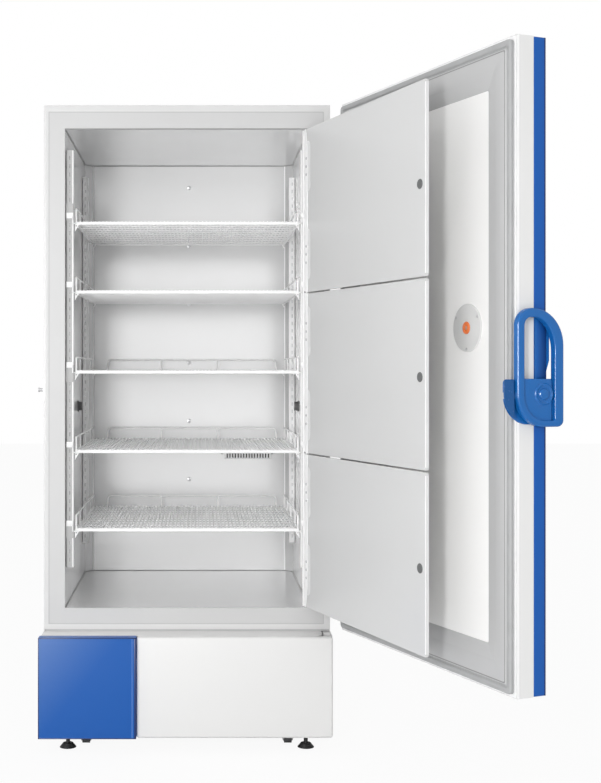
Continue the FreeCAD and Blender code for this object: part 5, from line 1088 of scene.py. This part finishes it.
def loopOf(left, bottom, right, top, corners, steps=14, straight=10, longest=12):
    spots = ((right, top, -1, -1, 0), (left, top, 1, -1, 90),
             (left, bottom, 1, 1, 180), (right, bottom, -1, 1, 270))
    points = []
    for (x, y, sx, sy, start), (a, b) in zip(spots, corners):
        for n in range(steps + 1):
            turn = math.radians(start + 90 * n / steps)
            c, s = math.cos(turn), math.sin(turn)
            normal = Vector((c / a, s / b)).normalized()
            points.append((Vector((x + sx * a + a * c, y + sy * b + b * s)), normal))
    dense = []
    for (p, n), (q, m) in zip(points, points[1:] + points[:1]):
        dense.append((p, n))
        if (q - p).length > longest:        # long straights get points, so that the caps fill evenly
            for k in range(1, straight):
                dense.append((p.lerp(q, k / straight), n.lerp(m, k / straight).normalized()))
    return dense


def inset(loop, amount, level):
    return [Vector((*(p - n * amount), level)) for p, n in loop]


def roundOver(loop, back, front, radius, sign=1, steps=5):
    rings = [inset(loop, 0, back)]
    for n in range(steps + 1):
        turn = math.pi / 2 * n / steps
        rings.append(inset(loop, sign * radius * (1 - math.cos(turn)),
                           front - radius + radius * math.sin(turn)))
    return rings


def pierced(bm, outer, hole, back, front, outerRound, holeRound):
    for loop, amount, sign in ((outer, outerRound, 1), (hole, holeRound, -1)):
        addRings(bm, roundOver(loop, back, front, amount, sign), False, False)
    for level, amounts in ((back, (0, 0)), (front, (outerRound, -holeRound))):
        edges = []
        for loop, amount in zip((outer, hole), amounts):
            verts = [bm.verts.new(point) for point in inset(loop, amount, level)]
            edges += [bm.edges.new(pair) for pair in zip(verts, verts[1:] + verts[:1])]
        bmesh.ops.triangle_fill(bm, edges=edges, use_beauty=True, use_dissolve=False)
    bmesh.ops.remove_doubles(bm, verts=bm.verts, dist=0.01)


def leverBody():
    outer = loopOf(lever["near"], lever["low"], lever["far"], lever["high"], lever["corners"])
    opening = loopOf(*lever["opening"], lever["openingCorners"])
    bm = bmesh.new()
    pierced(bm, outer, opening, lever["back"], lever["front"], lever["round"],
            lever["openingRound"])
    piece("leverRim", bm, "handle", "handle", "blue_plastic", edgeFrame, ["handle_lever"], 40)

    left, bottom, right = lever["opening"][:3]
    plateTop, plateRight, plateFront = pick(lever, "plateTop plateRight plateFront")
    overlap, bore = pick(lever, "overlap bore")
    plateBack = lever["back"] + lever["plateBack"]
    plate = [(Vector((left - overlap, plateTop)), Vector((-0.2, 1)))]
    clear = lever["plateClear"]
    plate += [(p + n * overlap, n) for p, n in opening
              if p.y < plateTop - clear and p.x < plateRight - clear]
    plate += [(Vector((plateRight, bottom - overlap)), Vector((1, 0))),
              (Vector((plateRight, plateTop)), Vector((1, 1)))]
    x, z = lever["boss"]
    turns = [n * math.pi / 16 for n in range(32)]
    hole = [(Vector((x + bore * math.cos(turn), z + bore * math.sin(turn))),
             Vector((math.cos(turn), math.sin(turn)))) for turn in turns]
    bm = bmesh.new()
    pierced(bm, plate, hole, plateBack, plateFront, lever["plateRound"], lever["boreRound"])
    addBox(bm, (plateRight - overlap, bottom - overlap, plateBack),
           (right + overlap, lever["grooveTop"], lever["grooveFront"]))
    piece("leverPlate", bm, "handle", "handle", "blue_plastic", edgeFrame, sharp=40)

    ring, cap = lever["bossRing"], lever["bossCap"]
    bm = bmesh.new()
    addLathe(bm, [(ring + 3, -0.4), (ring + 1.4, 1.2), (ring, 2.6), (ring - 2.5, 2.6),
                  (ring - 4, 1.0), (ring - 6, 0.2), (cap + 2, 0.2), (cap, 3.6), (cap - 1.4, 4.8),
                  (cap - 4, 5.2), (0, 5.2)], Matrix.Translation((x, z, plateFront)), 56)
    piece("leverBoss", bm, "handle", "handle", "blue_plastic", edgeFrame)


def housingCover():
    far, brow, heel, top, edge = pick(cover, "far brow heel top round")
    outline = loopOf(cover["near"], cover["low"], far + heel, cover["high"],
                     ((1, 1), (brow, brow), (heel, heel), (1, 1)))
    loop = [(p, n) for p, n in outline if p.x < far]
    bm = bmesh.new()
    addRings(bm, [inset(loop, 0, top - cover["thick"]), inset(loop, 0, top - edge),
                  inset(loop, edge, top)])
    piece("housingCover", bm, "housing", "outer_door", "blue_plastic", edgeFrame)


# a flat plate behind the lever with painted shade, darker away from the door's inner face, standing in for the
# hollow there
def guardPaintedShade():
    direction = (edgeFrame @ Vector((1, 0, 0, 0))).xyz.normalized()
    start = (edgeFrame @ Vector((guard["near"], guard["low"], 0))).dot(direction)
    reach = (guard["far"] - guard["near"]) / 1000
    finish = Finish("guardPaintedShade", (0.004, 0.05, 0.22), 0.4, **{"Specular IOR Level": 0.3})
    along = finish.node("ShaderNodeVectorMath", {"operation": "DOT_PRODUCT"}, {
        0: finish.place(), 1: tuple(direction)}, "Value")
    share = finish.node("ShaderNodeClamp", {}, {"Value": (along - start) * (1 / reach)})
    finish.set("Base Color", finish.blend(share, (0.008, 0.115, 0.43), (0.003, 0.035, 0.16)))
    finish.vary(finish.noise(90, 2), 0.36, 0.06)
    finishes["guardPaintedShade"] = finish.material
    boxPiece("guardPaintedShade", (guard["near"], guard["low"], guard["rise"] - guard["thick"]),
             (guard["far"], guard["high"], guard["rise"]), guard["round"], 2,
             "guardPaintedShade", "outer_door", "blue_plastic", edgeFrame)


leverBody()
housingCover()
guardPaintedShade()
print("latch drawn")


# base: two front panels; on the blue one, dark blue bands round its edges are painted shade, and a crease ridge is
# painted lighter as a highlight
base = {
    "blueRound": 3, "whiteRound": 8, "shadeBand": 3.4, "shadeBandRight": 6.4, "shadeBandInset": 0.3,
    "shadeBandOut": 0.2, "shadeBandDeep": 3, "shadeBandRound": 0.8,
    "crease": 12, "creaseRadius": 1.3, "creaseIn": 0.5, "creaseFoot": 3,
    "seamFront": 5, "seamBack": 12, "seamOver": 1,
}


def baseFronts():
    for node, finish, slotName, edge in (
        ("base_panel_blue", "baseBlue", "blue_paint", base["blueRound"]),
        ("base_panel_white", "baseWhite", "white_paint", base["whiteRound"]),
    ):
        boxPiece(node + "Shell", *span(node), edge, 5, finish, "cabinet", slotName,
                 replaced=[node])
    low, high = span("base_panel_blue")
    shadeBand, edge = base["shadeBand"], base["shadeBandInset"]
    left, right, bottom, top = low.x + edge, high.x - edge, low.z + edge, high.z - edge
    # painted shade: dark blue bands round the blue panel's edges, where the rounded edges turn away from the light
    bm = bmesh.new()
    for x1, z1, x2, z2 in ((left, high.z - shadeBand, right, top), (left, bottom, right, low.z + shadeBand),
                           (left, bottom, low.x + shadeBand, top),
                           (high.x - base["shadeBandRight"], bottom, right, top)):
        addBox(bm, (x1, low.y - base["shadeBandOut"], z1), (x2, low.y + base["shadeBandDeep"], z2),
               base["shadeBandRound"])
    piece("basePanelEdgeShade", bm, "edgeShadeBlue", "cabinet", "blue_paint")
    # painted highlight: the crease ridge near the blue panel's right edge, in a lighter blue
    x, y = high.x - base["crease"], low.y + base["creaseIn"]
    bm = bmesh.new()
    addRod(bm, (x, y, low.z + base["creaseFoot"]), (x, y, high.z - shadeBand),
           base["creaseRadius"], 12)
    piece("basePanelCrease", bm, "creaseHighlight", "cabinet", "blue_paint")
    # painted shade: a grey strip that closes the gap between the cabinet and the base
    low, high = span("cabinet_wrapper")
    over = base["seamOver"]
    boxPiece("baseSeam", (low.x + over, low.y + base["seamFront"],
                          span("base_ledge")[1].z - over),
             (high.x - over, low.y + base["seamBack"], low.z + over), 0, 2,
             "gapShadeGrey", "cabinet", "breaker_grey")


baseFronts()
print("base drawn")
bpy.context.scene.view_settings.view_transform = "Standard"
bpy.context.scene.view_settings.look = "None"
